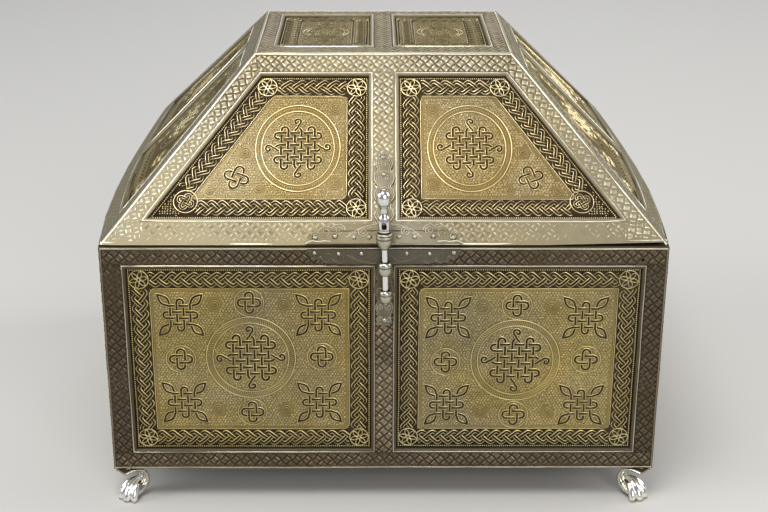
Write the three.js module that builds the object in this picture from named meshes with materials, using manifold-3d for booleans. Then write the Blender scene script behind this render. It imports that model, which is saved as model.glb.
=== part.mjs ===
// Reliquary casket: silver-gilt box on four paw feet, with a hipped lid,
// filigree panels set in recessed seats and a riveted front clasp closed by a
// ball-headed locking pin. The lid rests on the rim of the box and lifts off.
// Millimetres, +Z up, front towards -Y, standing on the plane z = 0.
import * as THREE from 'three';
import { mergeVertices } from 'three/addons/utils/BufferGeometryUtils.js';
import Module from 'manifold-3d';

const wasm = await Module();
wasm.setup();

// ---------------------------------------------------------------- sizes
const WIDTH = 200;            // box, left to right
const DEPTH = 180;            // box, front to back
const BOX_HEIGHT = 88;        // side walls
const FOOT_HEIGHT = 13;       // floor to underside of the box
const LID_GAP = 0.5;          // parting line between box and lid
const LID_HEIGHT = 56.4;      // hipped lid
const LID_INSET = 52.5;       // lid top is this much inside the box, each side
const WALL = 3.2;             // box wall
const FLOOR = 2.4;            // box floor
const LID_WALL = 3.0;         // lid wall, square to its face
const SEAT = 1.9;             // depth of a panel seat
const SEAT_GAP = 0.3;         // air around a panel in its seat
const PLATE = 0.75;           // panel plate
const BEAD = 1.3;             // moulding round a seat
const BEAD_RISE = 0.45;
const EDGE = 0.55;            // worn round of the parting edges
// the lid's lower edge is bent up at both front corners: reach along the
// front, lift at the corner, reach along the side
const BENT = [[1, 62, 1.15, 88], [-1, 17, 0.5, 16]];
// both sides belly outwards, most at the rim and a little forward of the middle
const BELLY = 3.8;
const PEAK = -0.17;
const STRIPS = 6;             // flat strips that follow the belly

const Z0 = FOOT_HEIGHT;                       // underside of the box
const Z1 = FOOT_HEIGHT + BOX_HEIGHT;          // rim of the box
const ZL = Z1 + LID_GAP;                      // rim of the lid
const SLOPE = Math.atan2(LID_HEIGHT, LID_INSET);
const SLANT = Math.hypot(LID_HEIGHT, LID_INSET);
const TOP_W = WIDTH - 2 * LID_INSET;
const TOP_D = DEPTH - 2 * LID_INSET;

// panel seats on the walls, measured from the middle line and the base
const SEAT_IN = 4.6;          // half of the middle band
const SEAT_SIDE = 8.8;        // corner band
const SEAT_LOW = 8.2;
const SEAT_HIGH = 79.9;
// panel seats on the slopes, measured up the slope
const SLOPE_IN = 5.4;
const SLOPE_LOW = 10.4;
const SLOPE_HIGH = 67.5;
const HIP_BAND = 7.6;
// panel seats on the flat top
const TOP_IN = 5.0;
const TOP_SIDE = 7.6;
const TOP_FRONT = 10.4;
const TOP_BACK = 9.3;

// front clasp
const PIN_Y = -93.2;
const PIN_R = 1.15;
const PIN_LOW = Z0 + 67.4;
const EYE_R = 1.54;           // hole of an eye

// ---------------------------------------------------------------- solids
function solid(geometry) {
  let g = geometry.index ? geometry.toNonIndexed() : geometry.clone();
  for (const name of Object.keys(g.attributes)) if (name !== 'position') g.deleteAttribute(name);
  g = mergeVertices(g, 1e-4);
  return new wasm.Manifold(new wasm.Mesh({
    numProp: 3,
    vertProperties: new Float32Array(g.attributes.position.array),
    triVerts: new Uint32Array(g.index.array),
  }));
}
function placed(m, matrix) {
  return m.transform(matrix.elements);
}
function unite(list) {
  let out = list[0];
  for (let i = 1; i < list.length; i++) out = out.add(list[i]);
  return out;
}
function toMesh(name, m, material) {
  const r = m.getMesh();
  const g = new THREE.BufferGeometry();
  const n = r.numProp;
  const pos = new Float32Array((r.vertProperties.length / n) * 3);
  for (let i = 0; i < pos.length / 3; i++) {
    for (let k = 0; k < 3; k++) pos[3 * i + k] = r.vertProperties[n * i + k];
  }
  g.setAttribute('position', new THREE.BufferAttribute(pos, 3));
  g.setIndex(new THREE.BufferAttribute(new Uint32Array(r.triVerts), 1));
  const mesh = new THREE.Mesh(g, material);
  mesh.name = name;
  return mesh;
}
const V = (x, y) => new THREE.Vector2(x, y);
// flat outline in u,v raised from n0 to n1, with an optional chamfer on top
function prism(outline, n0, n1, chamfer = 0, holes = []) {
  const s = new THREE.Shape(outline);
  for (const h of holes) s.holes.push(new THREE.Path(h));
  if (!chamfer) {
    const g = new THREE.ExtrudeGeometry(s, { depth: n1 - n0, bevelEnabled: false, curveSegments: 1 });
    g.translate(0, 0, n0);
    return solid(g);
  }
  const g = new THREE.ExtrudeGeometry(s, {
    depth: n1 - n0 - chamfer, bevelEnabled: true, bevelThickness: chamfer,
    bevelSize: chamfer, bevelOffset: -chamfer, bevelSegments: 1, curveSegments: 1,
  });
  g.translate(0, 0, n0);
  return solid(g);
}
function box(x0, x1, y0, y1, z0, z1) {
  const g = new THREE.BoxGeometry(x1 - x0, y1 - y0, z1 - z0);
  g.translate((x0 + x1) / 2, (y0 + y1) / 2, (z0 + z1) / 2);
  return solid(g);
}
// straight-sided body through stacked outlines that all have the same count
function loft(levels) {
  const n = levels[0][0].length, pos = [], idx = [], last = (levels.length - 1) * n;
  for (const [outline, z] of levels) for (const p of outline) pos.push(p.x, p.y, z);
  for (let k = 0; k + 1 < levels.length; k++) {
    for (let i = 0; i < n; i++) {
      const a = k * n + i, b = k * n + ((i + 1) % n);
      idx.push(a, b, b + n, a, b + n, a + n);
    }
  }
  for (const [a, b, c] of THREE.ShapeUtils.triangulateShape(levels[0][0], [])) {
    idx.push(a, c, b, a + last, b + last, c + last);
  }
  const g = new THREE.BufferGeometry();
  g.setAttribute('position', new THREE.BufferAttribute(new Float32Array(pos), 3));
  g.setIndex(idx);
  return solid(g);
}
// a rectangle in plan whose left and right sides are divided into strips
function plan(a, b) {
  const side = [];
  for (let i = 0; i <= STRIPS; i++) {
    const t = -1 + (2 * i) / STRIPS;
    side.push(V(a + 0.03 * (1 - t * t), b * t));
  }
  return [...side, ...side.map((p) => V(-p.x, -p.y))];
}
function belly(m, lid) {
  return m.warp((v) => {
    const h = Math.min(1, Math.max(0, lid ? (v[2] - ZL) / LID_HEIGHT : (Z1 - v[2]) / BOX_HEIGHT));
    const run = lid ? LID_INSET * h : 0;
    const s = Math.min(1, Math.max(-1, v[1] / (DEPTH / 2 - run)));
    const fall = s < PEAK ? Math.pow((PEAK - s) / (1 + PEAK), 2.2) : Math.pow((s - PEAK) / (1 - PEAK), 1.6);
    const near = Math.min(1, Math.max(0, (Math.abs(v[0]) / (WIDTH / 2 - run) - 0.6) / 0.25));
    v[0] += Math.sign(v[0]) * BELLY * (1 - h) * (1 - fall) * near;
  });
}
function ringPoints(cx, cy, r, count, turn = 0, ry = r) {
  const out = [];
  for (let i = 0; i < count; i++) {
    const a = turn + (i / count) * Math.PI * 2;
    out.push(V(cx + r * Math.cos(a), cy + ry * Math.sin(a)));
  }
  return out;
}
function rect(u0, u1, v0, v1) {
  return [V(u0, v0), V(u1, v0), V(u1, v1), V(u0, v1)];
}
// move every side of a convex outline inwards by d
function inset(pts, d) {
  const n = pts.length, out = [];
  for (let i = 0; i < n; i++) {
    const a = pts[(i + n - 1) % n], b = pts[i], c = pts[(i + 1) % n];
    const e1 = b.clone().sub(a).normalize(), e2 = c.clone().sub(b).normalize();
    const n1 = V(-e1.y, e1.x), n2 = V(-e2.y, e2.x);
    const k = d / (1 + n1.dot(n2));
    out.push(V(b.x + (n1.x + n2.x) * k, b.y + (n1.y + n2.y) * k));
  }
  return out;
}
function lathe(profile, count) {
  const g = new THREE.LatheGeometry(profile.map((p) => V(p[0], p[1])), count);
  g.rotateX(Math.PI / 2);
  return solid(g);
}
// frames: u along the face, v up it, n out of it
function frame(origin, u, v) {
  const n = new THREE.Vector3().crossVectors(u, v);
  const m = new THREE.Matrix4().makeBasis(u, v, n);
  m.setPosition(origin);
  return m;
}
const v3 = (x, y, z) => new THREE.Vector3(x, y, z);
const SIDES = [
  { name: 'front', u: v3(1, 0, 0), out: v3(0, -1, 0), half: WIDTH / 2, far: DEPTH / 2, top: TOP_W / 2 },
  { name: 'right', u: v3(0, 1, 0), out: v3(1, 0, 0), half: DEPTH / 2, far: WIDTH / 2, top: TOP_D / 2 },
  { name: 'back', u: v3(-1, 0, 0), out: v3(0, 1, 0), half: WIDTH / 2, far: DEPTH / 2, top: TOP_W / 2 },
  { name: 'left', u: v3(0, -1, 0), out: v3(-1, 0, 0), half: DEPTH / 2, far: WIDTH / 2, top: TOP_D / 2 },
];
for (const s of SIDES) {
  s.wall = frame(s.out.clone().multiplyScalar(s.far).add(v3(0, 0, Z0)), s.u, v3(0, 0, 1));
  const up = s.out.clone().multiplyScalar(-Math.cos(SLOPE)).add(v3(0, 0, Math.sin(SLOPE)));
  s.slope = frame(s.out.clone().multiplyScalar(s.far).add(v3(0, 0, ZL)), s.u, up);
}
const TOP = frame(v3(0, 0, ZL + LID_HEIGHT), v3(1, 0, 0), v3(0, 1, 0));

// ---------------------------------------------------------------- seats
// a seat in a bellied side has a point halfway along its long edges
const bellied = (s, seats) => {
  if (s.out.x) for (const seat of seats) seat.bellied = true;
  return seats;
};
function edge(seat) {
  if (!seat.bellied) return seat;
  return seat.flatMap((p, i) => {
    const q = seat[(i + 1) % seat.length], e = q.clone().sub(p);
    return e.y === 0 ? [p, V((p.x + q.x) / 2, p.y - Math.sign(e.x) * 0.02)] : [p];
  });
}
function wallSeats(s) {
  const o = s.half - SEAT_SIDE;
  return bellied(s, [rect(-o, -SEAT_IN, SEAT_LOW, SEAT_HIGH), rect(SEAT_IN, o, SEAT_LOW, SEAT_HIGH)]);
}
function slopeSeats(s) {
  const k = LID_INSET / SLANT;
  const hip = (v) => s.half - (k * v + HIP_BAND * Math.hypot(1, k));
  const a = hip(SLOPE_LOW), b = hip(SLOPE_HIGH);
  return bellied(s, [
    [V(-a, SLOPE_LOW), V(-SLOPE_IN, SLOPE_LOW), V(-SLOPE_IN, SLOPE_HIGH), V(-b, SLOPE_HIGH)],
    [V(SLOPE_IN, SLOPE_LOW), V(a, SLOPE_LOW), V(b, SLOPE_HIGH), V(SLOPE_IN, SLOPE_HIGH)],
  ]);
}
function topSeats() {
  const o = TOP_W / 2 - TOP_SIDE, f = -TOP_D / 2 + TOP_FRONT, b = TOP_D / 2 - TOP_BACK;
  return [rect(-o, -TOP_IN, f, b), rect(TOP_IN, o, f, b)];
}
const cutSeat = (seat, m) => placed(prism(edge(seat), -SEAT, 2), m);
const beadRing = (seat, m) => placed(prism(inset(edge(seat), -BEAD), -0.3, BEAD_RISE, 0.4, [edge(seat)]), m);

// ---------------------------------------------------------------- panels
// Relief heights above the plate
const RIM_RISE = 0.55, MOTIF_RISE = 0.5;
const PLATE_TOP = -SEAT + SEAT_GAP + PLATE;
const BORDER = 8.2;
function plateOf(seat) {
  return prism(inset(edge(seat), SEAT_GAP), -SEAT + SEAT_GAP, PLATE_TOP);
}
// narrow raised fillets on both sides of the plaited border
function borderOf(seat) {
  const fillet = (d) => prism(inset(edge(seat), d), PLATE_TOP - 0.2, PLATE_TOP + RIM_RISE, 0, [inset(edge(seat), d + 0.6)]);
  return [fillet(SEAT_GAP + 0.1), fillet(BORDER)];
}
function medallion(cx, cy, r, count) {
  const outer = ringPoints(cx, cy, r, count), inner = ringPoints(cx, cy, r - 2.6, count);
  return prism(outer, PLATE_TOP - 0.2, PLATE_TOP + MOTIF_RISE, 0, [inner]);
}
// woven square with a loop standing out of every side and corner
function knot(cx, cy, half, lobe, count, corners) {
  const pts = [];
  for (let i = 0; i < count; i++) {
    const a = (i / count) * Math.PI * 2;
    const wave = corners ? Math.cos(a * 8) : Math.cos(a * 4);
    const r = half + lobe * (0.5 + 0.5 * wave);
    pts.push(V(cx + r * Math.cos(a), cy + r * Math.sin(a)));
  }
  return prism(pts, PLATE_TOP - 0.2, PLATE_TOP + MOTIF_RISE);
}

function wallPanel(seat, fine) {
  const u0 = seat[0].x, u1 = seat[1].x, v0 = seat[0].y, v1 = seat[2].y;
  const cu = (u0 + u1) / 2, cv = (v0 + v1) / 2;
  const parts = [plateOf(seat), ...borderOf(seat), medallion(cu, cv, 16.2, fine ? 18 : 12)];
  parts.push(knot(cu, cv, 8.4, 2.6, fine ? 16 : 8, fine));
  const du = (u1 - u0) / 2 - BORDER - 9.2, dv = (v1 - v0) / 2 - BORDER - 8.6;
  if (fine) for (const i of [-1, 1]) for (const j of [-1, 1]) {
    parts.push(knot(cu + i * du, cv + j * dv, 4.6, 3.0, 8, false));
  }
  return unite(parts);
}
function slopePanel(seat, side, fine) {
  const inU = SLOPE_IN, medU = inU + 25.6, medV = 38.3;
  const flip = side;          // -1 left of the middle band, +1 right of it
  const parts = [plateOf(seat), ...borderOf(seat)];
  const wide = Math.abs(seat[side < 0 ? 0 : 1].x) > 80;
  const mu = wide ? medU : medU - 4.4;
  const r = wide ? 15.2 : 13.2;
  parts.push(medallion(flip * mu, medV, r, fine ? 14 : 10), knot(flip * mu, medV, r * 0.6, r * 0.12, 8, false));
  parts.push(knot(flip * (mu + r + 6.4), medV - 9.6 - (wide ? 0 : 1.0), 3.0, 2.0, 8, false));
  return unite(parts);
}
function topPanel(seat) {
  const cu = (seat[0].x + seat[1].x) / 2, cv = (seat[0].y + seat[2].y) / 2;
  return unite([plateOf(seat), ...[SEAT_GAP + 0.1, 6.6].map((d) =>
    prism(inset(seat, d), PLATE_TOP - 0.2, PLATE_TOP + RIM_RISE, 0, [inset(seat, d + 0.6)])),
  medallion(cu, cv, 9.6, 10), knot(cu, cv, 4.6, 2.0, 8, false)]);
}

// ---------------------------------------------------------------- box and lid
function makeBox() {
  const a = WIDTH / 2, b = DEPTH / 2;
  let m = loft([[plan(a, b), Z0], [plan(a, b), Z1 - EDGE], [plan(a - EDGE, b - EDGE), Z1]]);
  const seats = [], beads = [];
  for (const s of SIDES) for (const seat of wallSeats(s)) {
    seats.push(cutSeat(seat, s.wall));
    beads.push(beadRing(seat, s.wall));
  }
  m = unite([m, ...beads]);
  for (const c of seats) m = m.subtract(c);
  m = m.subtract(loft([[plan(a - WALL, b - WALL), Z0 + FLOOR], [plan(a - WALL, b - WALL), Z1 + 1]]));
  // an empty nail hole in the upper band, near the right corner
  const hole = placed(prism(ringPoints(91, 83.2, 0.55, 8), -WALL - 1, 1), SIDES[0].wall);
  return belly(m.subtract(hole), false);
}
function makeLid() {
  const a = WIDTH / 2, b = DEPTH / 2;
  const cot = LID_INSET / LID_HEIGHT, thick = LID_WALL / Math.sin(SLOPE);
  let m = loft([[plan(a - EDGE, b - EDGE), ZL], [plan(a, b), ZL + 0.35], [plan(TOP_W / 2, TOP_D / 2), ZL + LID_HEIGHT]]);
  const seats = [], beads = [];
  for (const s of SIDES) for (const seat of slopeSeats(s)) {
    seats.push(cutSeat(seat, s.slope));
    beads.push(beadRing(seat, s.slope));
  }
  for (const seat of topSeats()) { seats.push(cutSeat(seat, TOP)); beads.push(beadRing(seat, TOP)); }
  m = unite([m, ...beads]);
  for (const c of seats) m = m.subtract(c);
  const inner = (h, half) => half - h * cot - thick;
  const hi = LID_HEIGHT - LID_WALL;
  m = m.subtract(loft([[plan(inner(-1, a), inner(-1, b)), ZL - 1], [plan(inner(hi, a), inner(hi, b)), ZL + hi]]));
  for (const [side, along, lift, back] of BENT) {
    const g = new THREE.TetrahedronGeometry(1);
    const base = ZL - 0.2, k = 1 + 0.2 / lift;
    const corner = [side * (a + 0.2), -b - 0.2];
    const tips = [[corner[0], corner[1], base], [corner[0] - side * along * k, corner[1], base],
      [corner[0], corner[1] + back * k, base], [corner[0], corner[1], ZL + lift]];
    const order = side > 0 ? [[0, 1, 2], [0, 3, 1], [0, 2, 3], [1, 3, 2]] : [[0, 2, 1], [0, 1, 3], [0, 3, 2], [1, 2, 3]];
    const pos = order.flatMap((f) => f.flatMap((i) => tips[i]));
    g.setAttribute('position', new THREE.BufferAttribute(new Float32Array(pos), 3));
    m = m.subtract(solid(g));
  }
  // an empty nail hole beside the clasp plate
  const hole = placed(prism(ringPoints(-11.9, 7.3, 1.05, 12), -LID_WALL - 1, 1), SIDES[0].slope);
  return belly(m.subtract(hole), true);
}

// ---------------------------------------------------------------- feet
// Side view in (outward, up); the leg is a C that opens outwards and
// ends in a fluted paw.
const FOOT_AT = [93.6, 87.4];
function makeFoot() {
  const c = [];
  const mid = new THREE.CatmullRomCurve3([
    v3(4.6, 12.0, 0), v3(0.4, 11.4, 0), v3(-3.6, 9.4, 0), v3(-4.6, 6.2, 0), v3(-2.6, 3.4, 0), v3(0.8, 2.2, 0),
  ]);
  const N = 8, half = [0.7, 0.76, 0.85, 1.0, 1.15, 1.3, 1.45, 1.6, 1.8];
  const left = [], right = [];
  for (let i = 0; i <= N; i++) {
    const p = mid.getPoint(i / N), t = mid.getTangent(i / N);
    left.push(V(p.x - t.y * half[i], p.y + t.x * half[i]));
    right.push(V(p.x + t.y * half[i], p.y - t.x * half[i]));
  }
  const shape = new THREE.Shape([...left, ...right.reverse()]);
  const leg = new THREE.ExtrudeGeometry(shape, { depth: 6.2, bevelEnabled: false, curveSegments: 1 });
  leg.translate(0, 0, -3.1);
  leg.rotateX(Math.PI / 2);                       // (outward, lateral, up)
  c.push(solid(leg));
  const toe = (turn, length, r) => {
    const g = new THREE.SphereGeometry(1, 7, 4);
    g.scale(length / 2, r, 2.9);
    g.translate(length / 2 - 0.6, 0, 2.5);
    g.rotateZ(turn);
    g.translate(-0.4, 0, 0);
    return solid(g);
  };
  c.push(toe(-0.4, 7.8, 1.75), toe(0, 8.7, 1.9), toe(0.4, 7.8, 1.75));
  return unite(c).intersect(box(-12, 12, -8, 8, 0, FOOT_HEIGHT - 0.3));
}
// fixing leaf under the corner of the box, kept within its footprint
function footLeaf(matrix) {
  const a = WIDTH / 2 - 0.4, b = DEPTH / 2 - 0.4;
  return placed(box(-3.4, 6.6, -3.4, 3.4, 11.7, FOOT_HEIGHT - 0.3), matrix).intersect(box(-a, a, -b, b, 0, FOOT_HEIGHT));
}

// ---------------------------------------------------------------- clasp
function rivet(u, v, r, n0, rise) {
  return lathe([[0, 0], [r, 0], [r * 0.72, rise * 0.75], [0, rise]], 5).translate([u, v, n0 - 0.05]);
}
// The outline of a clasp plate: a foot strip with lobes and a middle arch,
// and a stem of rounded lobes. Both are read off as the outermost of circles.
function claspOutline(stem, lobes, arch, reach) {
  const height = (u) => {
    let h = 0.9 + 1.5 * Math.min(1, (reach - u) / 2.4);
    for (const [cu, cv, r] of lobes) {
      const d = r * r - (u - cu) * (u - cu);
      if (d > 0) h = Math.max(h, cv + Math.sqrt(d));
    }
    if (u < arch[0]) h = Math.max(h, 1.2 + arch[1] * Math.pow(1 - Math.pow(u / arch[0], 2.2), 0.6));
    return h;
  };
  const width = (v) => {
    let w = 2.5;
    for (const [cv, r] of stem) {
      const d = r * r - (v - cv) * (v - cv);
      if (d > 0) w = Math.max(w, Math.sqrt(d));
    }
    return w;
  };
  const tip = Math.max(...stem.map(([v, r]) => v + r));
  const last = stem.find(([v, r]) => v + r === tip);
  const side = [V(reach, 0.5)];
  const marks = [reach, ...lobes.flatMap(([cu, , r]) => [cu + r * 0.98, cu + r * 0.6, cu, cu - r * 0.6, cu - r * 0.98]), arch[0] * 0.99, arch[0] * 0.85, arch[0] * 0.6]
    .filter((u) => u > width(height(0)) + 0.8).sort((p, q) => q - p);
  for (const u of marks) if (side[side.length - 1].x - u > 0.35) side.push(V(u, height(u)));
  const foot = height(width(12));
  const levels = [foot, ...stem.flatMap(([cv, r]) => [cv - r * 0.8, cv - r * 0.45, cv, cv + r * 0.45, cv + r * 0.8])]
    .filter((v) => v >= foot && v < last[0] + last[1] * 0.8).sort((p, q) => p - q);
  for (const v of levels) if (v - side[side.length - 1].y > 0.35 || side[side.length - 1].x > width(v) + 1) side.push(V(width(v), v));
  side.push(V(last[1] * 0.45, last[0] + last[1] * 0.9), V(0, tip));
  const other = side.slice(0, -1).reverse().map((p) => V(-p.x, p.y));
  return [...side, ...other];
}
const LEAF0 = 0.3, LEAF1 = 1.1;
function claspPlate(stem, lobes, arch, reach, rivets) {
  const parts = [prism(claspOutline(stem, lobes, arch, reach), LEAF0, LEAF1)];
  for (const [u, v] of rivets) parts.push(rivet(u, v, 0.85, LEAF1, 0.65));
  return unite(parts);
}
// an eye for the pin: a round collar with a neck back to the plate
function eye(z0, z1, rTop, rMid, rLow, backY, lean, count = 12) {
  const body = lathe([[0, z0], [rLow, z0], [rMid, z0 + (z1 - z0) * 0.3], [rTop, z0 + (z1 - z0) * 0.75], [rTop * 0.88, z1], [0, z1]], count);
  const cut = prism(ringPoints(0, 0, EYE_R, 8), z0 - 1, z1 + 1);
  const neck = box(-1.5, 1.5, 1.0, backY - PIN_Y, z0 + (z1 - z0) * 0.12, z1 - (z1 - z0) * 0.12);
  return body.add(neck).subtract(cut).translate([lean, PIN_Y, 0]);
}
const LEAN = (z) => 0.5 - ((z - (Z0 + 68)) / 40) * 0.85;
function makeLidPlate() {
  const flat = claspPlate(
    [[33.9, 1.9], [31.4, 3.3], [25.6, 3.8], [19.2, 3.8], [11.5, 3.5]],
    [[16.0, 5.4, 2.7], [20.4, 4.7, 2.7], [24.2, 3.1, 2.0]],
    [13.6, 7.0], 27.6,
    [[5.2, 2.9], [-5.2, 2.9], [10.6, 2.9], [-10.6, 2.9], [17.2, 3.2], [-17.2, 3.2], [24.2, 2.7], [-24.2, 2.7], [-0.4, 33.8], [-0.2, 27.0]]);
  const plate = placed(flat, SIDES[0].slope);
  // the eye stands out from the lower edge of the lid
  const z0 = ZL + 0.1, z1 = Z0 + 94.6;
  const e = eye(z0, z1, 3.05, 3.0, 1.75, -88.6, LEAN(Z0 + 92));
  const clear = box(-6, 6, -89.6, -80, ZL - 2, ZL + 0.36);
  const keep = placed(box(-30, 30, -8, 60, 0.3, 30), SIDES[0].slope);
  return plate.add(e.intersect(keep).subtract(clear));
}
function makeBoxPlate() {
  const m = SIDES[0].wall.clone();
  const flat = claspPlate(
    [[27.0, 2.6], [22.4, 3.3], [16.0, 3.7], [9.6, 3.4]],
    [[15.6, 3.4, 2.5], [20.0, 3.1, 2.5], [24.2, 2.4, 1.8]],
    [13.8, 4.9], 27.2,
    [[7.9, 1.9], [-7.9, 1.9], [15.9, 2.0], [-15.9, 2.0], [24.4, 1.6], [-24.4, 1.6], [0.2, 27.4]]);
  // hangs from the rim: mirrored, so that its foot line lies along the rim
  const hang = new THREE.Matrix4().makeTranslation(0, BOX_HEIGHT - 0.1, 0)
    .multiply(new THREE.Matrix4().makeScale(1, -1, 1));
  let plate = flat.transform(hang.elements);
  plate = placed(plate, m);
  const e2 = eye(Z0 + 78.8, Z0 + 83.7, 2.45, 2.45, 1.9, -90.5, LEAN(Z0 + 81));
  const e3 = eye(Z0 + 68.5, Z0 + 73.1, 2.35, 2.35, 1.8, -90.5, LEAN(Z0 + 71));
  return plate.add(e2).add(e3);
}
function makePin() {
  const b = Z0;
  const prof = [
    [0, PIN_LOW], [0.55, PIN_LOW], [0.7, PIN_LOW + 0.6], [PIN_R, PIN_LOW + 5], [PIN_R, b + 94.9],
    [2.1, b + 94.9], [2.3, b + 95.5], [2.25, b + 99.6], [1.9, b + 100.4], [1.45, b + 101.2], [1.35, b + 103.2], [1.7, b + 104.6],
    [2.35, b + 105.6], [2.65, b + 107.2], [2.4, b + 108.8], [1.5, b + 110.1], [0, b + 110.6],
  ];
  let m = lathe(prof, 8);
  // cross hole through the barrel
  const hole = new THREE.CylinderGeometry(0.85, 0.85, 8, 6);
  hole.scale(1, 1, 1.35);
  m = m.subtract(solid(hole).translate([0, 0, b + 97.6]));
  // lean a little to one side, in line with the eyes
  return m.warp((v) => { v[0] += LEAN(v[2]); }).translate([0, PIN_Y, 0]);
}

// ---------------------------------------------------------------- the object
const metal = (color, roughness, metalness = 1) => new THREE.MeshStandardMaterial({ color, roughness, metalness });
const frameMetal = metal(0x8f8360, 0.42);
const lidMetal = metal(0xcfc39a, 0.36);
const gilt = metal(0xb79a4a, 0.4);
const polished = metal(0xc9c4b8, 0.22);

const casket = new THREE.Group();
casket.add(toMesh('casket_box', makeBox(), frameMetal));
casket.add(toMesh('lid_shell', makeLid(), lidMetal));
for (const s of SIDES) {
  wallSeats(s).forEach((seat, i) => {
    const m = placed(wallPanel(seat, s.name === 'front'), s.wall);
    casket.add(toMesh(`panel_${s.name}_${i ? 'right' : 'left'}`, s.out.x ? belly(m, false) : m, gilt));
  });
}
for (const s of SIDES) {
  slopeSeats(s).forEach((seat, i) => {
    const m = placed(slopePanel(seat, i ? 1 : -1, s.name === 'front'), s.slope);
    casket.add(toMesh(`lid_panel_${s.name}_${i ? 'right' : 'left'}`, s.out.x ? belly(m, true) : m, gilt));
  });
}
topSeats().forEach((seat, i) => {
  casket.add(toMesh(`lid_panel_top_${i ? 'right' : 'left'}`, placed(topPanel(seat), TOP), gilt));
});
for (const [name, sx, sy] of [['front_left', -1, -1], ['front_right', 1, -1], ['back_right', 1, 1], ['back_left', -1, 1]]) {
  const m = new THREE.Matrix4().makeRotationZ(Math.atan2(sy, sx));
  m.setPosition(sx * FOOT_AT[0], sy * FOOT_AT[1], 0);
  casket.add(toMesh(`foot_${name}`, placed(makeFoot(), m).add(footLeaf(m)), polished));
}
casket.add(toMesh('lid_clasp_plate', makeLidPlate(), lidMetal));
casket.add(toMesh('box_clasp_plate', makeBoxPlate(), frameMetal));
casket.add(toMesh('locking_pin', makePin(), polished));
casket.updateMatrixWorld(true);
export default casket;
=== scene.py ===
"""Looks of the reliquary casket: filigree panels, woven frame bands, mouldings, clasp, pin and feet.
Everything below is worked out in millimetres in each face's own frame (u along, v up, n out)
and written into the row frame in metres."""

import math
import random

import bpy
import numpy as np
from mathutils import Matrix, Vector


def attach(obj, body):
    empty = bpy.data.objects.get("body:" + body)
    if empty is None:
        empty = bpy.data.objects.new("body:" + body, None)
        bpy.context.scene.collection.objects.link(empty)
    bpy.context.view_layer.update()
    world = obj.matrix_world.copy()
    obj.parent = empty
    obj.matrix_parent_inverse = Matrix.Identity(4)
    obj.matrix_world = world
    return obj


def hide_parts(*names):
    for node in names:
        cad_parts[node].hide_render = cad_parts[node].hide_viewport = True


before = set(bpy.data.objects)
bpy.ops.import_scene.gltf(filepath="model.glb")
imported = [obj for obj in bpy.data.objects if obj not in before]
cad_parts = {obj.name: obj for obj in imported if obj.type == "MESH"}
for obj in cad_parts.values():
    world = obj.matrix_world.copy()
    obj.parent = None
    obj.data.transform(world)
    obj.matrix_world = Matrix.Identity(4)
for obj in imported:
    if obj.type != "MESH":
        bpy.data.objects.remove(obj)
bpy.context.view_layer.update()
random.seed(11)
RNG = np.random.default_rng(7)

# ------------------------------------------------------------------ sizes, mm
WIDTH, DEPTH, BOX_H, Z0 = 200.0, 180.0, 88.0, 13.0
Z1 = Z0 + BOX_H
ZL = Z1 + 0.5
LID_H, INSET = 56.4, 52.5
SLANT = math.hypot(LID_H, INSET)
CS, SN = INSET / SLANT, LID_H / SLANT
TOP_W, TOP_D = WIDTH - 2 * INSET, DEPTH - 2 * INSET
K = INSET / SLANT                      # hip line's run per unit up the slope
HYP = math.hypot(1, K)
SEAT_IN, SEAT_SIDE, SEAT_LOW, SEAT_HIGH = 4.6, 8.8, 8.2, 79.9
SLOPE_IN, SLOPE_LOW, SLOPE_HIGH, HIP_BAND = 5.4, 10.4, 67.5, 7.6
TOP_IN, TOP_SIDE, TOP_FRONT, TOP_BACK = 5.0, 7.6, 10.4, 9.3
BEAD = 1.45                            # reach of the moulding round a seat


class Face:
    def __init__(self, name, origin, u, v, half):
        self.name, self.half = name, half
        self.o, self.u, self.v = (np.array(a, float) for a in (origin, u, v))
        self.n = np.cross(self.u, self.v)

    def world(self, p):
        return self.o + p[:, 0:1] * self.u + p[:, 1:2] * self.v + p[:, 2:3] * self.n


SIDES = []
for _name, _u, _out, _half, _far in (
    ("front", (1, 0, 0), (0, -1, 0), 100.0, 90.0), ("right", (0, 1, 0), (1, 0, 0), 90.0, 100.0),
    ("back", (-1, 0, 0), (0, 1, 0), 100.0, 90.0), ("left", (0, -1, 0), (-1, 0, 0), 90.0, 100.0),
):
    _o = np.array(_out, float)
    wall = Face(_name, _o * _far + (0, 0, Z0), _u, (0, 0, 1), _half)
    slope = Face(_name, _o * _far + (0, 0, ZL), _u, -_o * CS + np.array((0, 0, SN)), _half)
    SIDES.append((_name, wall, slope))
TOP = Face("top", (0, 0, ZL + LID_H), (1, 0, 0), (0, 1, 0), TOP_W / 2)
FRONT_WALL, FRONT_SLOPE = SIDES[0][1], SIDES[0][2]


def wall_seats(half):
    o = half - SEAT_SIDE
    return [[(-o, SEAT_LOW), (-SEAT_IN, SEAT_LOW), (-SEAT_IN, SEAT_HIGH), (-o, SEAT_HIGH)],
            [(SEAT_IN, SEAT_LOW), (o, SEAT_LOW), (o, SEAT_HIGH), (SEAT_IN, SEAT_HIGH)]]


def hip(half, v, d):
    return half - K * v - d * HYP


def slope_seats(half):
    a, b = hip(half, SLOPE_LOW, HIP_BAND), hip(half, SLOPE_HIGH, HIP_BAND)
    return [[(-a, SLOPE_LOW), (-SLOPE_IN, SLOPE_LOW), (-SLOPE_IN, SLOPE_HIGH), (-b, SLOPE_HIGH)],
            [(SLOPE_IN, SLOPE_LOW), (a, SLOPE_LOW), (b, SLOPE_HIGH), (SLOPE_IN, SLOPE_HIGH)]]


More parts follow.
